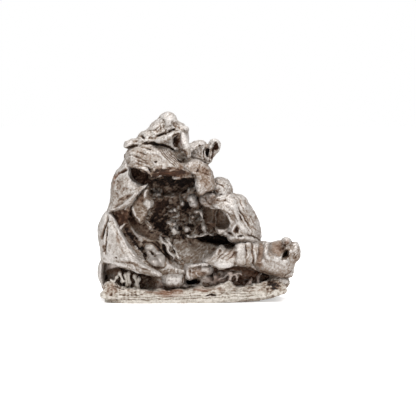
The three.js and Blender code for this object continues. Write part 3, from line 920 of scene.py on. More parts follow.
    def inner_marks(self):
        return [
            # the pale eye-shaped ring low on the left wall
            spot((-13.2, 13.8), (3.9, 2), 1.3, 0.85, turn=-45, sharp=3),
            line(
                [(-11.4, 19.8), (-10.8, 18), (-9.2, 16.4), (-9, 14.8), (-7.4, 13.4), (-7.6, 12)], 0.35, 0.3,
                0.5,
            ),
            line([(-10.2, 19), (-8.6, 17.4), (-6.8, 15), (-6.2, 13.2), (-4.4, 12)], 0.3, 0.3, 0.5),
            line([(-10.6, 16.6), (-9.8, 14.6), (-8.6, 12.4), (-7.6, 10.8)], 0.3, -0.6, -0.5),
            line([(-8, 17.6), (-7.4, 15.6), (-6.6, 14)], 0.25, -0.6, -0.5),
            line([(-12, 10.4), (-8, 10.6), (-5, 10.4)], 0.8, 0.3, 0.4),
            spot((-9, 12), (2.2, 1.4), 0.2, 0.3, 0.1),
            line([(-15.6, 24.6), (-12.4, 22.6), (-9.4, 20.6), (-7.6, 19)], 1.0, -0.8, -0.3),
            spot((-18, 21.6), (3.4, 2.2), 0, 0.26, 0.2, turn=-20),
            ring((-13.2, 13.8), (3.3, 1.6), -45, 0.16, 0.15, 0.2),
            ring((-13.2, 13.8), (4.5, 2.6), -45, 0.09, -0.6, -0.4),
            spot((-14.1, 14.6), (0.42, 0.34), -0.6, -1.0, turn=-40),
            spot((-13.6, 13.9), (0.38, 0.55), -0.8, -1.1, turn=10),
            spot((-12.9, 13), (0.28, 0.38), -0.5, -0.9, turn=30),
            spot((-12.3, 12.7), (0.2, 0.26), -0.4, -0.8),
            line([(-16.4, 15.8), (-14.4, 15.6), (-12, 13.4), (-10, 10.6)], 0.35, 0.5, 0.3),
            line([(-15.8, 13.6), (-14, 11.6), (-11.2, 9.8)], 0.35, 0.5, 0.25),
            line([(-20.6, 22.4), (-18.4, 19.4), (-16.6, 17.4)], 0.4, 0.5, 0.2),
            line([(-21, 20.4), (-18.6, 17), (-16.6, 14.6), (-13.8, 11.8)], 0.35, -0.7, -0.4),
            line([(-19.2, 16.6), (-16.4, 13.2)], 0.3, 0.4, 0.2),
            spot((-17.8, 19.6), (2.6, 1.8), -0.3, 0.12, 0.15, turn=-40),
            # the grey metallic floor bowl, finely wrinkled
            spot((-1.6, 15.2), (6.4, 3.8), 0, 0.5, turn=-8, sharp=3),
            lamellae((-1.4, 15), (6.4, 3.8), 28, 1.1, 0.22, 0.16, 1.6),
            lamellae((-3.4, 16), (5, 3), -38, 1.5, 0.2, 0.14, 1.8),
            # dark places: brown oxide and rust, and painted shade under the cheek's rim and under the brow
            spot((-12.2, 24), (3.2, 2.4), -0.8, -0.45),
            # painted shade: a dark band under the brow's lower edge
            spot((-6, 35.8), (7.5, 1.6), 0, -0.4),
            spot((6.2, 18.2), (7, 1.6), 0, -0.6),
            spot((-10, 31.6), (5.4, 2.8), 0, 0.16, 0.1),
            # painted shadow under the cheek's rim, with rust
            spot((-23, 25.4), (4.4, 2.2), -0.8, -0.65, 0.5, turn=25, sharp=1.5),
            spot((-19.6, 23.4), (2.2, 1.6), 0, -0.2, 0.2),
            spot((-17.6, 37.4), (3.6, 2.4), 0, -0.3, 0.35, turn=-35, sharp=3),
            spot((-19.5, 7), (6, 2), 0, -0.1, 0.2),
            spot((-26.4, 8.8), (2.8, 2.8), 0, 0.34, 0.5, sharp=2.5),
            spot((-1.6, 5.9), (2.2, 0.8), -0.8, -0.6),
            spot((12, 9.2), (8, 1.4), 0, 0.12, 0.7),
            spot((16.4, 8), (2.6, 1.2), 0, 0.16, 0.7),
            spot((12, 6.2), (9, 1.8), 0, 0.32, 0.8),
            spot((4.6, 6.6), (3.4, 1.4), 0.4, 0.32, 0.5),
            spot((-10, 4.8), (5, 1.6), 0, 0.2, 0.8),
            # the smooth alcove on the right
            spot((7.6, 24.8), (2.6, 3.4), -0.3, 0.42, 0.3, sharp=2.5),
            spot((3.4, 25), (1.9, 3.4), -0.3, 0.3, 0.3, sharp=2.5),
            line([(5.4, 27.6), (5.5, 25), (5.3, 22)], 0.2, 0.3, 0.4),
            # the bright edges of the cells over the slit
            line([(-2.4, 19.2), (0.6, 19.6), (3, 20.2), (5, 19.4)], 0.3, 0.5, 0.9),
            spot((2.1, 21.6), (0.9, 1.4), 0.6, 1.0, turn=20),
            spot((-3.4, 21.6), (0.8, 0.9), 0.5, 0.9),
            line([(-1.6, 26.6), (0.6, 26.8), (1.4, 24.6), (2, 22.8)], 0.22, 0.3, 0.5),
            line([(-7.6, 27.8), (-6.4, 26.6), (-6, 25.2)], 0.22, 0.3, 0.6),
            line([(-8.6, 24.4), (-7, 25), (-5.4, 25.6)], 0.22, 0.3, 0.6),
            line([(-2.4, 26), (-2.6, 24), (-0.8, 22.2)], 0.2, 0.3, 0.45),
            spot((-7, 21.4), (1.7, 1.2), 0.4, 0.5, turn=-25, sharp=3),
            spot((-3.6, 27.4), (2.2, 1.6), -0.8, -0.35, turn=20),
            spot((-11, 27.6), (2.4, 3), -0.6, -0.3, 0.2),
            spot((0, 24.4), (1.3, 1.7), 0.2, 0.3, turn=10, sharp=3),
            spot((-8.8, 23.6), (1.3, 0.6), 0.4, 0.35, turn=10),
            # pale peaks and twigs in the right cave
            *[line(path, 0.34, 0.1, 0.9) for path in self.twigs],
            line([(8.6, 8.6), (10.4, 9.2), (12.6, 8.8)], 0.3, 0.5, 0.7),
            line([(4, 7.4), (6.4, 8.6), (8.6, 8.2)], 0.25, 0.4, 0.5),
        ]


class BuildLeftSide(bpy.types.Operator):
    """Build the flank plate and the cheek plate on the left"""

    bl_idname = "meteorite.left_side"
    bl_label = "Left flank and cheek"

    def execute(self, context):
        outline = [
            (-30.2, 21), (-29.4, 24.4), (-27.6, 27), (-25.6, 26), (-23.8, 22.9), (-21.2, 17.6),
            (-17.8, 13.2), (-14.4, 10.5), (-11, 8.7), (-11.6, 7.9), (-16.5, 8.9), (-21, 10.3), (-25, 11.2),
            (-29, 11.6), (-29.6, 16),
        ]
        body = [
            lobe(outline, (-24.4, 15.8), -12.6, 4, (-0.42, 0.12), 0.5),
            blade([(-28.4, -3, 13), (-29.2, -3.4, 10.4), (-29.2, -3, 7), (-27.8, -3.4, 2.8)], 1.9, 13),
            blade(
                [
                    (-29.2, -6, 12.2), (-25, -11, 11.6), (-20.6, -12.4, 10.4), (-15.4, -12.8, 9),
                    (-11.4, -12.4, 8.1),
                ],
                1.3, 2.2,
            ),
        ]
        calm = [((-24.8, 16), (3, 5.4), -12)]
        marks = [
            line([(-27, 26.4), (-27.7, 23.2), (-28.6, 20.4), (-29.3, 18.6)], 0.45, -1.3, -0.7),
            line([(-27, 23.2), (-27.4, 20), (-27.8, 17), (-27.6, 14.2)], 0.35, -1.0, -0.6),
            line([(-26.2, 25.2), (-24.4, 22.6), (-21.6, 17.4), (-17.6, 12.8)], 0.5, 0.5, 0.15, cliff=1),
            line([(-28.6, 17.4), (-28.2, 14.6)], 0.3, -0.5, -0.4),
            line([(-24.6, 12.2), (-20, 12), (-16.4, 10.4), (-12.6, 9.2)], 0.35, -0.35, -0.18),
            line([(-28.8, 12.4), (-24.8, 12), (-20.9, 10.7), (-15.6, 9)], 0.5, 0.45, 0.15),
            line([(-24.2, 20.6), (-23.4, 17), (-21.8, 14)], 0.5, -0.2, -0.12),
            spot((-24.4, 13.6), (0.3, 0.3), -0.4, -0.5),
            spot((-23.6, 18.8), (0.8, 1.6), -0.1, -0.1, 0.2),
        ]
        grain(
            "left_flank", body, marks, pale_patina(), 0.8, 14, 0.45, stretch=(1, 1, 0.5), way=(1, 0, 0.35),
            pitch=1.6, calm=calm,
        )
        self.build_cheek()
        return {"FINISHED"}

    def build_cheek(self):
        outline = [
            (-27.4, 27), (-26.4, 31), (-26.1, 36), (-25.2, 38.3), (-22.8, 41.4), (-21.6, 43.4), (-20.2, 41),
            (-20.2, 38.2), (-18.8, 36.2), (-16.4, 34.9), (-15, 35.4), (-17, 33), (-19, 31.2), (-21.1, 29.5),
            (-24, 27.9), (-26.6, 26.2),
        ]
        body = [
            lobe(outline, (-22.6, 33.6), -11.4, 3, (-0.5, 0.1), 0.55),
            blade(
                [
                    (-26.8, -6, 26.8), (-23.4, -9.6, 28.2), (-20.4, -11.4, 30.2), (-18, -12.2, 32.8),
                    (-15.2, -12.4, 35.2),
                ],
                1.3, 1.8,
            ),
        ]
        marks = [
            line([(-25.6, 37), (-23.6, 38.6), (-20.9, 40.2)], 0.4, -1.2, -0.7, 0.5),
            spot((-25, 37.6), (1.3, 0.6), -0.2, -0.1, 1.0, turn=45),
            line([(-20.4, 40.6), (-20.9, 38.6), (-20.2, 36.8), (-18, 35)], 0.4, 0.5, 0.2, cliff=-1),
            line([(-26.4, 27.6), (-23.4, 28.6), (-20.4, 30.6), (-18, 33.2)], 0.4, 0.5, 0.15, cliff=1),
            spot((-22, 31.4), (1.7, 0.7), -0.5, -0.35, 0.1, turn=25),
            spot((-23.6, 35), (0.8, 1.5), -0.3, -0.22, turn=-20),
            spot((-24.6, 32), (0.7, 1.1), -0.3, -0.2),
            spot((-21.6, 34), (0.9, 0.6), -0.2, -0.15),
            spot((-25.4, 35.4), (0.5, 1.2), -0.2, -0.1, 0.6, turn=-15),
        ]
        grain("left_cheek", body, marks, pale_patina(), 0.69, 21, 0.5, way=(1, 0, -0.8))


class BuildBrow(bpy.types.Operator):
    """Build the wrinkled plate that overhangs the big hollow"""

    bl_idname = "meteorite.brow"
    bl_label = "Brow"

    def execute(self, context):
        outline = [
            (-21.8, 43.6), (-20.8, 45.6), (-17, 46.8), (-12, 47), (-8.4, 46.2), (-6.4, 44), (-3.2, 42),
            (-0.6, 40), (-0.4, 38), (-4, 37.4), (-7, 37.2), (-10.6, 37.4), (-13.8, 37), (-15.2, 39.4),
            (-20.4, 40.3),
        ]
        body = [
            lobe(outline, (-11.6, 42), -13.4, 5, (0.05, 0.32), 0.55),
            blade([(-20.8, -11, 41), (-18, -13, 40.6), (-15.6, -14, 39.6), (-13.6, -14, 37.6)], 1.6, 2),
            blade([(-7.6, -11, 37), (-5.3, -11.6, 37.2), (-2.9, -11.8, 37.6), (-0.6, -11, 37.4)], 0.9, 1.6),
        ]
        skin = Skin(body, cell())
        step = [(-10.2, 46.2), (-9, 44.4), (-7.2, 42.6), (-5.4, 41)]
        slanted = [
            line([(x + 0.62 * k, z + 0.2 * k) for x, z in step], 0.17, -0.3, -0.28)
            for k in range(-2, 3)
        ]
        marked(skin, [
            *slanted,
            line(
                [
                    (-14.9, 47.3), (-10.1, 46.9), (-8.2, 46.4), (-6.7, 44.8), (-5.6, 43.1), (-4.4, 42.1),
                    (-2.6, 42.6),
                ],
                0.4, -1.0, -0.7,
            ),
            line([(-17, 46.2), (-15.4, 45.9), (-13.6, 45.6)], 0.25, -0.6, -0.5),
            line([(-20.2, 45.4), (-17.2, 44.8), (-14.9, 43.8)], 0.3, -0.35, -0.2, 0, 0.7),
            line([(-21.3, 44.3), (-18.2, 43.5), (-15.2, 42.2)], 0.3, -0.35, -0.2, 0, 0.7),
            line([(-18.9, 42.8), (-15.9, 41.9), (-13.9, 41.2)], 0.25, -0.25, -0.16, 0, 0.7),
            line([(-19.8, 41), (-16.6, 40.7), (-13.3, 40)], 0.25, -0.2, -0.12, 0, 0.6),
            line([(-16.4, 44.9), (-13.4, 44.9), (-11, 43.9), (-9.4, 42.2)], 0.5, 0.4, 0.12),
            spot((-12.6, 42), (0.5, 0.3), -0.4, -0.5),
            spot((-11.8, 39.9), (0.9, 0.5), -0.2, -0.25),
            line(
                [(-13.6, 38), (-11.4, 39.2), (-8.6, 40), (-5.6, 39.8), (-4.2, 38.8)], 0.5, -0.3, -0.15, 0.1,
                0.5,
            ),
            spot((-8.6, 37.8), (5, 1.9), -1.4, -0.26, 0.6, turn=6, sharp=1.2),
            line([(-10.4, 37.6), (-8.6, 37.8), (-6.4, 38.6)], 0.25, 0.2, 0.3, 0.5),
            spot((-17.4, 37.6), (3, 1.9), -1.6, -0.5, 0.25, turn=-35),
            spot((-4.4, 40.6), (1.6, 0.8), 0, -0.12, 0.2, turn=-25),
        ])
        marked(skin, [FISSURE], side=0)
        weathered(skin, 27, 0.6 * rough(), (0.8, 1, 1.1), (0.7, 0, 1), calm=[((-11, 43), (3.4, 1.6), -15)])
        # painted shade: faces of the lower brow that look down are darkened
        under = np.clip(-skin.normals()[:, 2] * 1.6 - 0.3, 0, 1) * (skin.points[:, 2] < 40)
        skin.tone -= 0.6 * under
        finished(skin, "brow_plate", pale_patina(), 0.63)
        return {"FINISHED"}


class BuildCrown(bpy.types.Operator):
    """Build the lump on top, with its knob, its finger and its drape"""

    bl_idname = "meteorite.crown"
    bl_label = "Crown"

    def execute(self, context):
        outline = [
            (-22, 46.4), (-20.6, 48.3), (-18.8, 48.7), (-17.4, 50.6), (-15.6, 51.4), (-14, 53.6),
            (-12.2, 54.8), (-11, 56.2), (-9.2, 56.9), (-7.4, 56.1), (-6.2, 54.2), (-4.4, 53), (-3.2, 51.2),
            (-3, 47.6), (-5, 44.6), (-10, 43.6), (-17.4, 43.6),
        ]
        body = [
            lobe(outline, (-11.4, 49.4), -8.6, 8.4, (0, 0.2), 0.6, fine=0.6),
            boulder((-20.6, -5.4, 47), (1.9, 3.6, 1.5)),
            boulder((-9, -3.4, 53.8), (2.8, 5, 2.9)),
            blade([(-13.4, -8, 48), (-10.4, -11.4, 48.6), (-7.6, -11.4, 50), (-5.2, -9, 51.2)], 2, 3.6),
            blade([(-4.8, -7.4, 50.6), (-4, -10.6, 47.8), (-3.2, -11, 45.2), (-2.6, -10, 43)], 2.6, 3.6),
            boulder((-3.9, -4, 51.6), (1.2, 3, 1.2)),
        ]
        skin = Skin(body, cell())
        marked(skin, [
            line([(-12.4, 49.6), (-10, 50.5), (-8.6, 51.2), (-6.4, 52)], 0.3, -1.1, -0.7),
            spot((-6.3, 47.9), (1.0, 2.0), -2.6, -0.9, 0.2, turn=14),
            spot((-6.2, 50.4), (0.8, 1.2), -0.6, -0.4, turn=20),
            spot((-5.2, 45), (0.9, 1.8), -0.4, -0.25, 0.15, turn=30),
            spot((-6.6, 53.2), (1.3, 0.8), -0.45, -0.35, turn=-25),
            spot((-12.6, 51.4), (0.8, 0.5), -0.3, -0.3, 0.2),
            spot((-14.9, 52.5), (0.5, 0.4), -0.5, -0.6, turn=30),
            spot((-11.9, 55.3), (0.4, 0.6), -0.4, -0.5),
            spot((-16.8, 49.5), (0.8, 0.5), -0.6, -0.6, turn=-30),
            spot((-14.1, 49.1), (0.9, 0.5), -0.5, -0.5),
            spot((-10.6, 54.4), (0.25, 0.25), -0.3, -0.45),
            spot((-18.8, 47.9), (0.9, 0.4), -0.4, -0.3, turn=25),
            line([(-12.6, 54.6), (-14.4, 53), (-16.4, 51)], 0.3, -0.4, -0.35),
            line([(-10.4, 53), (-10, 51.8), (-9.6, 50.9)], 0.17, -0.3, -0.35),
            line([(-11.6, 53.2), (-11.3, 51.6)], 0.17, -0.25, -0.25),
            line([(-18, 46.8), (-16.4, 48), (-15, 48.4)], 0.3, 0.4, 0.2),
            line([(-22, 45.4), (-20, 46.4), (-17.8, 46.6)], 0.5, -1.0, -0.6),
            line([(-19, 47.6), (-16, 48.2), (-13.6, 48.6), (-11.4, 50)], 0.3, -0.3, -0.2),
            line([(-15.6, 51), (-13, 51.6), (-11.2, 53.6), (-9.4, 54)], 0.25, -0.3, -0.22),
            spot((-5.4, 47.6), (0.8, 1.6), 0, 0, 0.4),
            line([(-21.4, 44.8), (-19.4, 45.7)], 0.25, 0.4, 0.3),
            spot((-4.8, 48), (0.5, 1.0), 0.2, 0, 0.45),
            spot((-4, 44.4), (0.9, 1.2), -0.2, -0.25, 0.1),
        ])
        marked(skin, [FISSURE], side=0)
        weathered(skin, 33, 0.58 * rough(), way=(-0.8, 0, 1))
        # painted highlight: the top of the knob and the finger on the right are lightened
        skin.tone += 0.12 * np.exp(-(elliptic(skin.points, (-8.6, 54.4), (3.4, 2.4), 0) ** 4))
        skin.tone += 0.1 * np.exp(-(elliptic(skin.points, (-3.8, 48), (1.6, 3.6), 0) ** 4))
        finished(skin, "crown_lobe", pale_patina(), 0.74)
        return {"FINISHED"}


class BuildHookSpur(bpy.types.Operator):
    """Build the hooked fins right of the crown"""

    bl_idname = "meteorite.hook_spur"
    bl_label = "Hook spur"

    def execute(self, context):
        fin = [
            (2.2, 41.2), (2.6, 43.4), (2.8, 46), (3.4, 48), (5, 48.9), (6.4, 48.2), (6.7, 46.6), (6.2, 44.9),
            (4.9, 43.2), (3.6, 41.4),
        ]
        lump = [
            (-4.4, 43), (-3.8, 46.6), (-2.2, 47.3), (0, 48.2), (1.8, 48.1), (2.8, 46.8), (2.9, 44.8),
            (2.6, 41.8), (-0.4, 41),
        ]
        body = [
            lobe(lump, (-0.2, 44.8), -6.4, 5, square=0.8, fine=0.5),
            blade([(-4, -7, 44), (-2, -8, 45.6), (0, -7.6, 46.8), (1.8, -6.4, 47.4)], 1.6, 3),
            blade(
                [
                    (3.2, -5, 42), (3.6, -5.6, 45.6), (4.4, -6, 48), (5.6, -5.8, 48.1), (6.1, -5.4, 46.4),
                    (5.4, -5, 44.8),
                ],
                0.8, 2,
            ),
            lobe(fin, (4.4, 45.4), -5.4, 1.4, (0.2, 0), 0.7, fine=0.5),
        ]
        marks = [
            line([(3, 46), (3.2, 44.6), (3.2, 43), (2.8, 41.6)], 0.5, -1.6, -1.0),
            line([(2.1, 45.6), (1.9, 44), (1.8, 42)], 0.3, -0.9, -0.7),
            line([(4.6, 46.4), (4.5, 44.4), (4, 42.2)], 0.35, -1.0, -0.8, 0.3),
            spot((5.3, 46.4), (0.6, 1.0), -0.9, -0.6, 0.9),
            spot((0.2, 44.6), (0.6, 0.4), -0.2, -0.2),
            line([(0.4, 47.6), (0.8, 46), (1, 43.6)], 0.3, -0.4, -0.3),
            line([(-2.6, 44.8), (-0.6, 44.2), (1, 43)], 0.25, -0.3, -0.25),
        ]
        grain("hook_spur", body, marks, pale_patina(), 0.74, 41, 0.6, width=SMALL_CELL, grit=1.2)
        return {"FINISHED"}


class BuildHollowRim(bpy.types.Operator):
    """Build the lobe, the nodule and the flap that hang into the big hollow"""

    bl_idname = "meteorite.hollow_rim"
    bl_label = "Hanging lobe, nodule and flap"

    def execute(self, context):
        self.build_hanging_lobe()
        self.build_nodule()
        self.build_flap()
        return {"FINISHED"}

    def build_hanging_lobe(self):
        outline = [
            (-4.6, 41), (-2.6, 42.4), (0, 42.6), (2.2, 41.6), (3.8, 39.8), (4.8, 37.2), (4.9, 34.6),
            (4, 33.4), (2.6, 33.1), (1, 32.2), (-0.1, 32.9), (-0.5, 35.2), (-0.8, 37.8), (-2.6, 39.2),
        ]
        marks = [
            spot((1.8, 39.4), (1.6, 1.1), 0, -0.26, 0.2, turn=-12),
            spot((2.4, 35.6), (1.8, 1.8), 0, -0.14, 0.1),
            line([(-0.3, 33.4), (-0.5, 35.4), (-0.9, 37.4)], 0.3, 0.4, 0.35),
            line([(0.6, 41.8), (0.2, 40.2), (-0.6, 38.8)], 0.3, -0.25, -0.2),
            line([(4.6, 39), (4.4, 36.8), (4.6, 34.8)], 0.35, -0.3, -0.25),
        ]
        grain(
            "hanging_lobe", [lobe(outline, (1.6, 37.6), -14.6, -2, (0.2, 0.35), 0.4)], marks, grey_patina(),
            0.6, 45, 0.5,
        )

    def build_nodule(self):
        body = [boulder((-1.9, -7, 30.9), (1.3, 4.4, 1.3)), boulder((-1.3, -6.8, 29.5), (1.2, 4.2, 1.2))]
        marks = [
            spot((-1.4, 31), (0.4, 0.35), -0.4, -0.35), line([(-2.6, 30), (-1.4, 30.2)], 0.2, -0.3, -0.3),
        ]
        grain("cavity_nodule", body, marks, grey_patina(), 0.9, 49, 0.7, width=FINE_CELL)

    def build_flap(self):
        outline = [
            (-20.2, 28.4), (-19, 31), (-16.8, 33.4), (-14.7, 34.9), (-14.8, 31.8), (-13.4, 29.8),
            (-14.6, 27.6), (-15.6, 25.4), (-17, 23.4), (-18.8, 24.8),
        ]
        marks = [
            spot((-15, 29.6), (1.5, 1.3), 0.7, 0.6, turn=-20),
            line([(-19.6, 28.8), (-19, 26.4), (-17.2, 24)], 0.28, 0.4, 0.55),
            line([(-15.6, 34), (-15.7, 31.6), (-14.6, 29.6), (-15.4, 27.6)], 0.35, 0.5, 0.35),
            spot((-17.4, 31), (1.2, 1.6), -0.4, -0.25, 0.3, turn=-30),
        ]
        grain(
            "cavity_flap", [lobe(outline, (-17, 29), -11.6, -3, (-0.3, 0.05), 0.55)], marks, dark_oxide(),
            0.52, 52, 0.6, width=SMALL_CELL,
        )


class BuildRightSide(bpy.types.Operator):
    """Build the ribbed shell and the knob on the ridge above it"""

    bl_idname = "meteorite.right_side"
    bl_label = "Ribbed shell and ridge knob"

    def execute(self, context):
        relief = context.scene.iron_relief
        outline = [
            (3.6, 29.4), (4.4, 31.6), (8, 32.8), (11, 32.2), (14.2, 31), (15.6, 28.6), (17.4, 26),
            (18.7, 23), (19.1, 19.6), (18, 16.8), (13, 16.8), (9.4, 18), (8.6, 20.6), (9.8, 23), (9, 26),
            (6.8, 28),
        ]
        shoulder = [
            (0.4, 30.4), (1.2, 32), (3.4, 32.6), (6.4, 32), (7.6, 29.6), (6, 28), (3.6, 28), (1.6, 28.8),
        ]
        body = [
            lobe(outline, (13.4, 25), -11.8, 9, (0.45, 0.2), 0.6),
            blade(
                [(6, -8.6, 28.6), (7.6, -10.2, 27.8), (9.1, -11, 26), (9.9, -11.2, 24), (9.4, -11, 21.8)],
                1.3, 2.6,
            ),
            lobe(shoulder, (3.6, 30), -10, -3, (0.1, 0.3), 0.4, fine=0.5),
            blade([(7.4, -9.8, 20.8), (9.2, -11, 20), (11.4, -11.4, 19), (13.6, -10.6, 18.8)], 0.8, 1.6),
            blade([(9.6, -10.6, 21.6), (10.6, -11.2, 20.6), (11.4, -11, 19.2)], 0.7, 1.4),
        ]
        marks = [
            lamellae((14.2, 26), (7, 6.6), -54, relief.pitch, 0.42, 0.26, 0.8),
            lamellae((14.6, 24.6), (5, 5), -62, relief.pitch * 0.55, 0.2, 0.24, 0.7),
            lamellae((10.8, 31.2), (4.4, 2.6), -40, relief.pitch * 0.8, 0.3, 0.24, 1.1),
            line([(9.4, 29.6), (11.4, 26.4), (12.6, 23), (14.8, 20.2)], 0.6, 0.6, 0.2),
            line([(14.8, 20.4), (17, 19.2), (18.6, 18.2)], 0.35, -1.0, -0.8),
            line([(11.8, 29), (13.8, 25.4), (16, 21.8)], 0.3, -0.6, -0.5),
            spot((18, 25.5), (0.8, 0.9), -0.5, -0.5),
            spot((9, 20.5), (1.5, 0.7), -1.6, -0.8, 0.2, turn=-15),
            spot((11.3, 22), (0.9, 1.2), -1.4, -0.7, 0.2, turn=-30),
            spot((12.6, 19.9), (1.2, 0.4), -1.0, -0.7, turn=-12),
            spot((10.6, 20.9), (0.5, 0.5), 0.6, 0.3),
            spot((11.5, 19.8), (0.45, 0.5), 0.6, 0.3),
            spot((3, 30.2), (3, 1.9), -0.2, -0.36, 0.25, sharp=3),
            line([(0.8, 28.8), (2.6, 28.2), (5.2, 28.4)], 0.25, -0.4, -0.4),
            line([(2.2, 32), (2.6, 30.6), (3.8, 29)], 0.22, -0.3, -0.3),
            line([(5.2, 31.2), (7, 30.6), (9, 31)], 0.35, -0.4, -0.3),
        ]
        grain("ribbed_shell", body, marks, grey_patina(), 0.8, 57, 0.6, way=(0.9, 0, 0.7), pitch=0.9)
        self.build_knob()
        return {"FINISHED"}

    def build_knob(self):
        outline = [
            (4.8, 33.6), (5.1, 36), (6, 37), (7.8, 36.6), (9.4, 35.4), (10.4, 33.4), (9.4, 31.4),
            (5.8, 31.2),
        ]
        marks = [
            line([(5.2, 35.4), (7.2, 34.8), (9.2, 33.2)], 0.35, -0.35, -0.25, 0, 0.5),
            spot((6.2, 33.2), (0.8, 0.6), -0.3, -0.3, 0.2),
        ]
        grain(
            "ridge_knob", [lobe(outline, (7.5, 34), -9.6, 4, (0.1, 0.2), 0.7)], marks, grey_patina(), 0.66,
            61, 1.0, grit=1.5,
        )


class BuildLowerRight(bpy.types.Operator):
    """Build the scroll arm, the fan fold and the lower ledge"""

    bl_idname = "meteorite.lower_right"
    bl_label = "Scroll arm, fan fold and ledge"

    def execute(self, context):
        self.build_arm()
        self.build_fan()
        self.build_ledge()
        return {"FINISHED"}

    def build_arm(self):
        outline = [
            (11.6, 14.4), (12.4, 18), (15.4, 18.2), (19.4, 17.9), (22, 17.6), (25, 18), (28.6, 17.4),
            (30.2, 14.6), (29.4, 11.2), (27.8, 8.4), (25, 7), (21.4, 7.8), (18, 9), (16, 11), (12.6, 12),
        ]
        hollows = [
            ((23.9, 16.4), (2.6, 2.6), -10, 4), ((26.2, 14), (1.5, 0.8), 50, 5),
            ((18.7, 15.4), (1.1, 3.4), -4, 1.6),
        ]
        body = [
            lobe(outline, (21.4, 12.4), -13.6, 2.6, (0.12, 0.12), 0.8, hollows),
            boulder((26.7, -7.4, 18), (1.5, 3.2, 1.3)),
            boulder((29.2, -6.4, 14.9), (1.9, 3.8, 3.2)),
            boulder((26.4, -5, 9), (2.8, 4.4, 2.6)),
            blade([(20.9, -9, 17.9), (20.4, -12, 16.4), (20.2, -13.4, 14.4), (21.4, -13.6, 12.9)], 1.6, 2.4),
        ]
        calm = [((21.6, 10.6), (5.4, 2.6), -8), ((23.4, 16.2), (2.6, 2), 0), ((18.4, 14), (1.8, 4), 0)]
        marks = [
            line([(15.9, 17.8), (16.1, 15.4), (16.5, 12.6), (16.3, 10.6)], 0.3, -0.6, -0.4, 0.2),
            line([(17.4, 16.6), (17.6, 14), (17.5, 11.6)], 0.25, -0.2, -0.15),
            spot((18.7, 15), (1, 2.6), 0, -0.26, 0.3, turn=-4),
            spot((18.4, 11.6), (0.7, 1.6), -0.1, -0.16, 0.25),
            spot((24.2, 15.9), (2.1, 1.9), -0.3, -0.42, 0.3, sharp=1.5),
            spot((26.2, 14), (1.2, 0.7), -0.6, -0.8, 0.1, turn=50),
            spot((26.6, 18), (0.8, 0.7), 0, -0.14, 0.7),
            spot((28.6, 13), (1.4, 1.8), -0.2, -0.2),
            lamellae((28.6, 14.6), (2.2, 3.8), 62, 1.0, 0.4, 0.4, 2.0),
            line([(19.8, 13.2), (22.4, 13), (25, 12.4), (27.4, 12.8)], 0.45, 0.3, 0.12),
            line([(18.4, 9.4), (21.4, 8.4), (25.2, 7.8)], 0.4, -0.2, -0.12),
            spot((26.2, 17.2), (0.7, 0.35), -0.4, -0.4),
        ]
        grain("scroll_arm", body, marks, grey_patina(), 0.74, 66, 0.7, calm=calm)

    def build_fan(self):
        outline = [
            (1.2, 12.3), (4.2, 14.2), (6.8, 16.8), (8.8, 15.8), (11, 16.4), (13.2, 17), (13.8, 14),
            (14.8, 11.4), (12, 11.8), (10.8, 11), (9.6, 11.2), (8.2, 10), (6.4, 9.6), (5, 10.6), (3.4, 11.2),
        ]
        second = [(14.3, 17.8), (15.9, 17.7), (16.2, 14.4), (15.9, 11.4), (14.5, 11.1), (14.3, 14.2)]
        column = [(11.3, 17.2), (14, 17.6), (14.3, 14.6), (14.1, 11.4), (11.4, 11.6), (11.2, 14.4)]
        body = [
            lobe(outline, (8, 12.9), -14.4, -3, (0, 0.28), 0.75),
            blade([(2, -11.6, 12.3), (4.6, -13.2, 11.8), (7, -14.4, 11.2), (10.6, -14, 11.6)], 1.8, 2.2),
            blade([(6.8, -11, 16.6), (5.2, -12.8, 14.4), (3.4, -12.8, 12.6)], 1.1, 1.6),
            lobe(column, (12.8, 14.4), -15, -8, (0.1, 0.1), 0.6, fine=0.5),
            lobe(second, (15.1, 14.4), -13.6, -8, (0.3, 0.1), 0.7, fine=0.5),
        ]
        rays = [
            [(10.6, 16.2), (8.8, 14.6), (6.6, 12.8)], [(11, 15), (9.4, 13.4), (8, 12.2)],
            [(8.8, 16), (7.2, 14.8), (5.4, 13)],
        ]
        marks = [
            *[line(ray, 0.28, -0.22, -0.16, 0, 0.4) for ray in rays],
            line([(12.4, 16), (9.4, 15.2), (7.6, 14.4)], 0.3, 0.35, 0.1),
            spot((6.6, 15.6), (0.5, 0.4), -0.4, -0.4),
            spot((7.4, 11.4), (2.6, 1.1), 0.3, 0.2),
            spot((10.2, 14.8), (1.6, 1.3), -0.2, -0.24, 0.25, turn=35),
            line([(14.2, 17.4), (14.6, 15), (14.1, 13)], 0.22, -0.3, -0.25),
            line([(11.4, 16.8), (11.6, 15)], 0.3, -0.2, -0.15, 0.15),
            spot((12.6, 15), (1.1, 2.2), 0, 0.12),
        ]
        grain("fan_fold", body, marks, pale_patina(), 0.68, 70, 0.45, calm=[((12.8, 14.4), (1.4, 3), 0)])

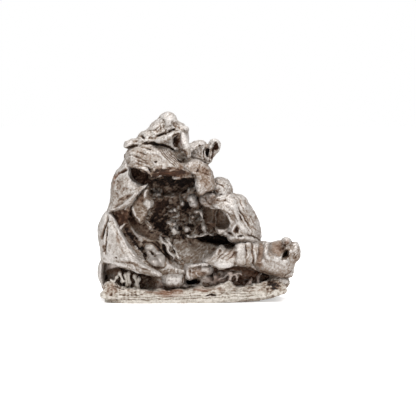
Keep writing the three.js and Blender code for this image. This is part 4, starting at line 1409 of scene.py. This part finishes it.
    def build_ledge(self):
        upper = [
            (-4.2, 8.6), (-3.7, 10.9), (-0.6, 11.2), (2.6, 11.4), (4.4, 10.4), (4.2, 8.4), (2, 7.6),
            (-1, 6.9), (-3.6, 6.8),
        ]
        block = [
            (-11.6, 6.4), (-10.8, 8.1), (-7.4, 8.4), (-4.2, 8.2), (-3.7, 6.4), (-4.4, 5), (-7, 4.4),
            (-10.4, 4.8),
        ]
        body = [
            lobe(upper, (0, 9.2), -13.4, -3, (0, 0.1), 0.7),
            lobe(block, (-7.4, 6.6), -13.8, -1, (0, 0.1), 0.7),
            blade([(-4, -12.4, 11), (-1, -13.2, 11.2), (2.2, -13, 11.6), (4.4, -12, 12.2)], 0.8, 1.4),
        ]
        marks = [
            spot((0.4, 9), (4, 1.6), -0.2, -0.3, 0.25, sharp=1.5),
            line([(-3.2, 10.4), (-3, 8.6), (-2.4, 7.2)], 0.3, 0.4, 0.4),
            line([(-1.9, 10.2), (-1.7, 8.6), (-1.9, 7.2)], 0.22, 0.35, 0.35),
            line([(-0.6, 9.4), (0.2, 8), (1.6, 7.6)], 0.22, 0.3, 0.3),
            line([(-3.4, 11), (0, 11.2), (3.8, 11.6)], 0.25, 0.3, 0.35),
            line([(-4.1, 8.6), (-4.1, 6.8), (-4.4, 5.4)], 0.3, -0.6, -0.5),
            spot((-7.4, 6.6), (3.4, 1.6), 0.2, 0.16, sharp=3),
        ]
        grain("lower_ledge", body, marks, grey_patina(), 0.76, 74, 0.75)


# ---- Stage ----


class BuildStage(bpy.types.Operator):
    """Build the pale floor, the soft studio light and the camera"""

    bl_idname = "meteorite.stage"
    bl_label = "Stage"

    def execute(self, context):
        studio = context.scene.studio
        self.build_floor(studio)
        self.build_light("Key light", KEY_PLACE, KEY_SIZE, studio.key)
        self.build_light("Top light", TOP_PLACE, TOP_SIZE, studio.key * TOP_SHARE)
        world = bpy.data.worlds.new("White studio")
        world.use_nodes = True
        nodes = world.node_tree.nodes
        nodes["Background"].inputs["Color"].default_value = (1, 1, 1, 1)
        glow = self.glow(nodes, WORLD_LIGHT, WORLD_SEEN)
        world.node_tree.links.new(glow, nodes["Background"].inputs["Strength"])
        context.scene.world = world
        # with plain colours, white paper under white light stays white
        context.scene.view_settings.view_transform = "Standard"
        self.build_camera(context, studio)
        return {"FINISHED"}

    def glow(self, nodes, light, seen):
        """The strength of a glow that lights the specimen with `light`, but that the camera sees as
        `seen`. So the ground is white to its horizon, and the specimen isn't washed out."""
        ray = add(nodes, "ShaderNodeLightPath").outputs["Is Camera Ray"]
        return add(nodes, "ShaderNodeMapRange", {"Value": ray}, in_To_Min=light, in_To_Max=seen).outputs[
            "Result"
        ]

    def build_floor(self, studio):
        signs = ((-1, -1), (1, -1), (1, 1), (-1, 1))
        corners = [(x * FLOOR_HALF, y * FLOOR_HALF, 0) for x, y in signs]
        mesh = bpy.data.meshes.new("floor")
        mesh.from_pydata(corners, [], [(0, 1, 2, 3)])
        floor = bpy.data.objects.new("floor", mesh)
        bpy.context.scene.collection.objects.link(floor)
        material = bpy.data.materials.new("white_paper")
        material.use_nodes = True
        shader = material.node_tree.nodes["Principled BSDF"]
        shader.inputs["Base Color"].default_value = tuple(studio.floor)
        shader.inputs["Roughness"].default_value = 0.9
        shader.inputs["Emission Color"].default_value = tuple(studio.floor)
        glow = self.glow(material.node_tree.nodes, FLOOR_LIGHT, FLOOR_SEEN)
        material.node_tree.links.new(glow, shader.inputs["Emission Strength"])
        mesh.materials.append(material)

    def build_light(self, name, place, size, power):
        data = bpy.data.lights.new(name, "AREA")
        data.shape = "DISK"
        data.size = size
        data.energy = power
        lamp = bpy.data.objects.new(name, data)
        lamp.location = place
        lamp.rotation_mode = "QUATERNION"
        lamp.rotation_quaternion = (Vector(LIGHTS_AIM) - Vector(place)).to_track_quat("-Z", "Y")
        bpy.context.scene.collection.objects.link(lamp)

    def build_camera(self, context, studio):
        data = bpy.data.cameras.new("Camera")
        data.lens = studio.lens
        data.sensor_width = SENSOR
        away = VIEW_WIDTH * data.lens / data.sensor_width
        rise = np.radians(VIEW_RISE)
        aim = Vector(VIEW_AIM)
        camera = bpy.data.objects.new("Camera", data)
        back = Vector((0, -np.cos(rise), np.sin(rise)))
        camera.location = aim + back * away
        camera.rotation_mode = "QUATERNION"
        camera.rotation_quaternion = (-back).to_track_quat("-Z", "Y")
        context.scene.collection.objects.link(camera)
        context.scene.camera = camera


STEPS = (
    BuildBasePlate, BuildCaveRibs, BuildCore, BuildLeftSide, BuildBrow, BuildCrown, BuildHookSpur,
    BuildHollowRim, BuildRightSide, BuildLowerRight, BuildStage,
)


class MeteoritePanel(bpy.types.Panel):
    """The steps that build the specimen, in order"""

    bl_idname = "VIEW3D_PT_meteorite"
    bl_label = "Meteorite"
    bl_space_type = "VIEW_3D"
    bl_region_type = "UI"
    bl_category = "Meteorite"

    def draw(self, context):
        scene = context.scene
        for group in (scene.iron_relief, scene.iron_colours, scene.studio):
            for name in group.__annotations__:
                self.layout.prop(group, name)
        for step in STEPS:
            self.layout.operator(step.bl_idname)


CLASSES = (IronColours, IronRelief, Studio, *STEPS, MeteoritePanel)


def register():
    for one in CLASSES:
        bpy.utils.register_class(one)
    bpy.types.Scene.iron_colours = PointerProperty(type=IronColours)
    bpy.types.Scene.iron_relief = PointerProperty(type=IronRelief)
    bpy.types.Scene.studio = PointerProperty(type=Studio)


def unregister():
    for name in ("iron_colours", "iron_relief", "studio"):
        delattr(bpy.types.Scene, name)
    for one in reversed(CLASSES):
        bpy.utils.unregister_class(one)


def main():
    register()
    for step in STEPS:
        group, name = step.bl_idname.split(".")
        getattr(getattr(bpy.ops, group), name)()


if __name__ == "__main__":
    main()
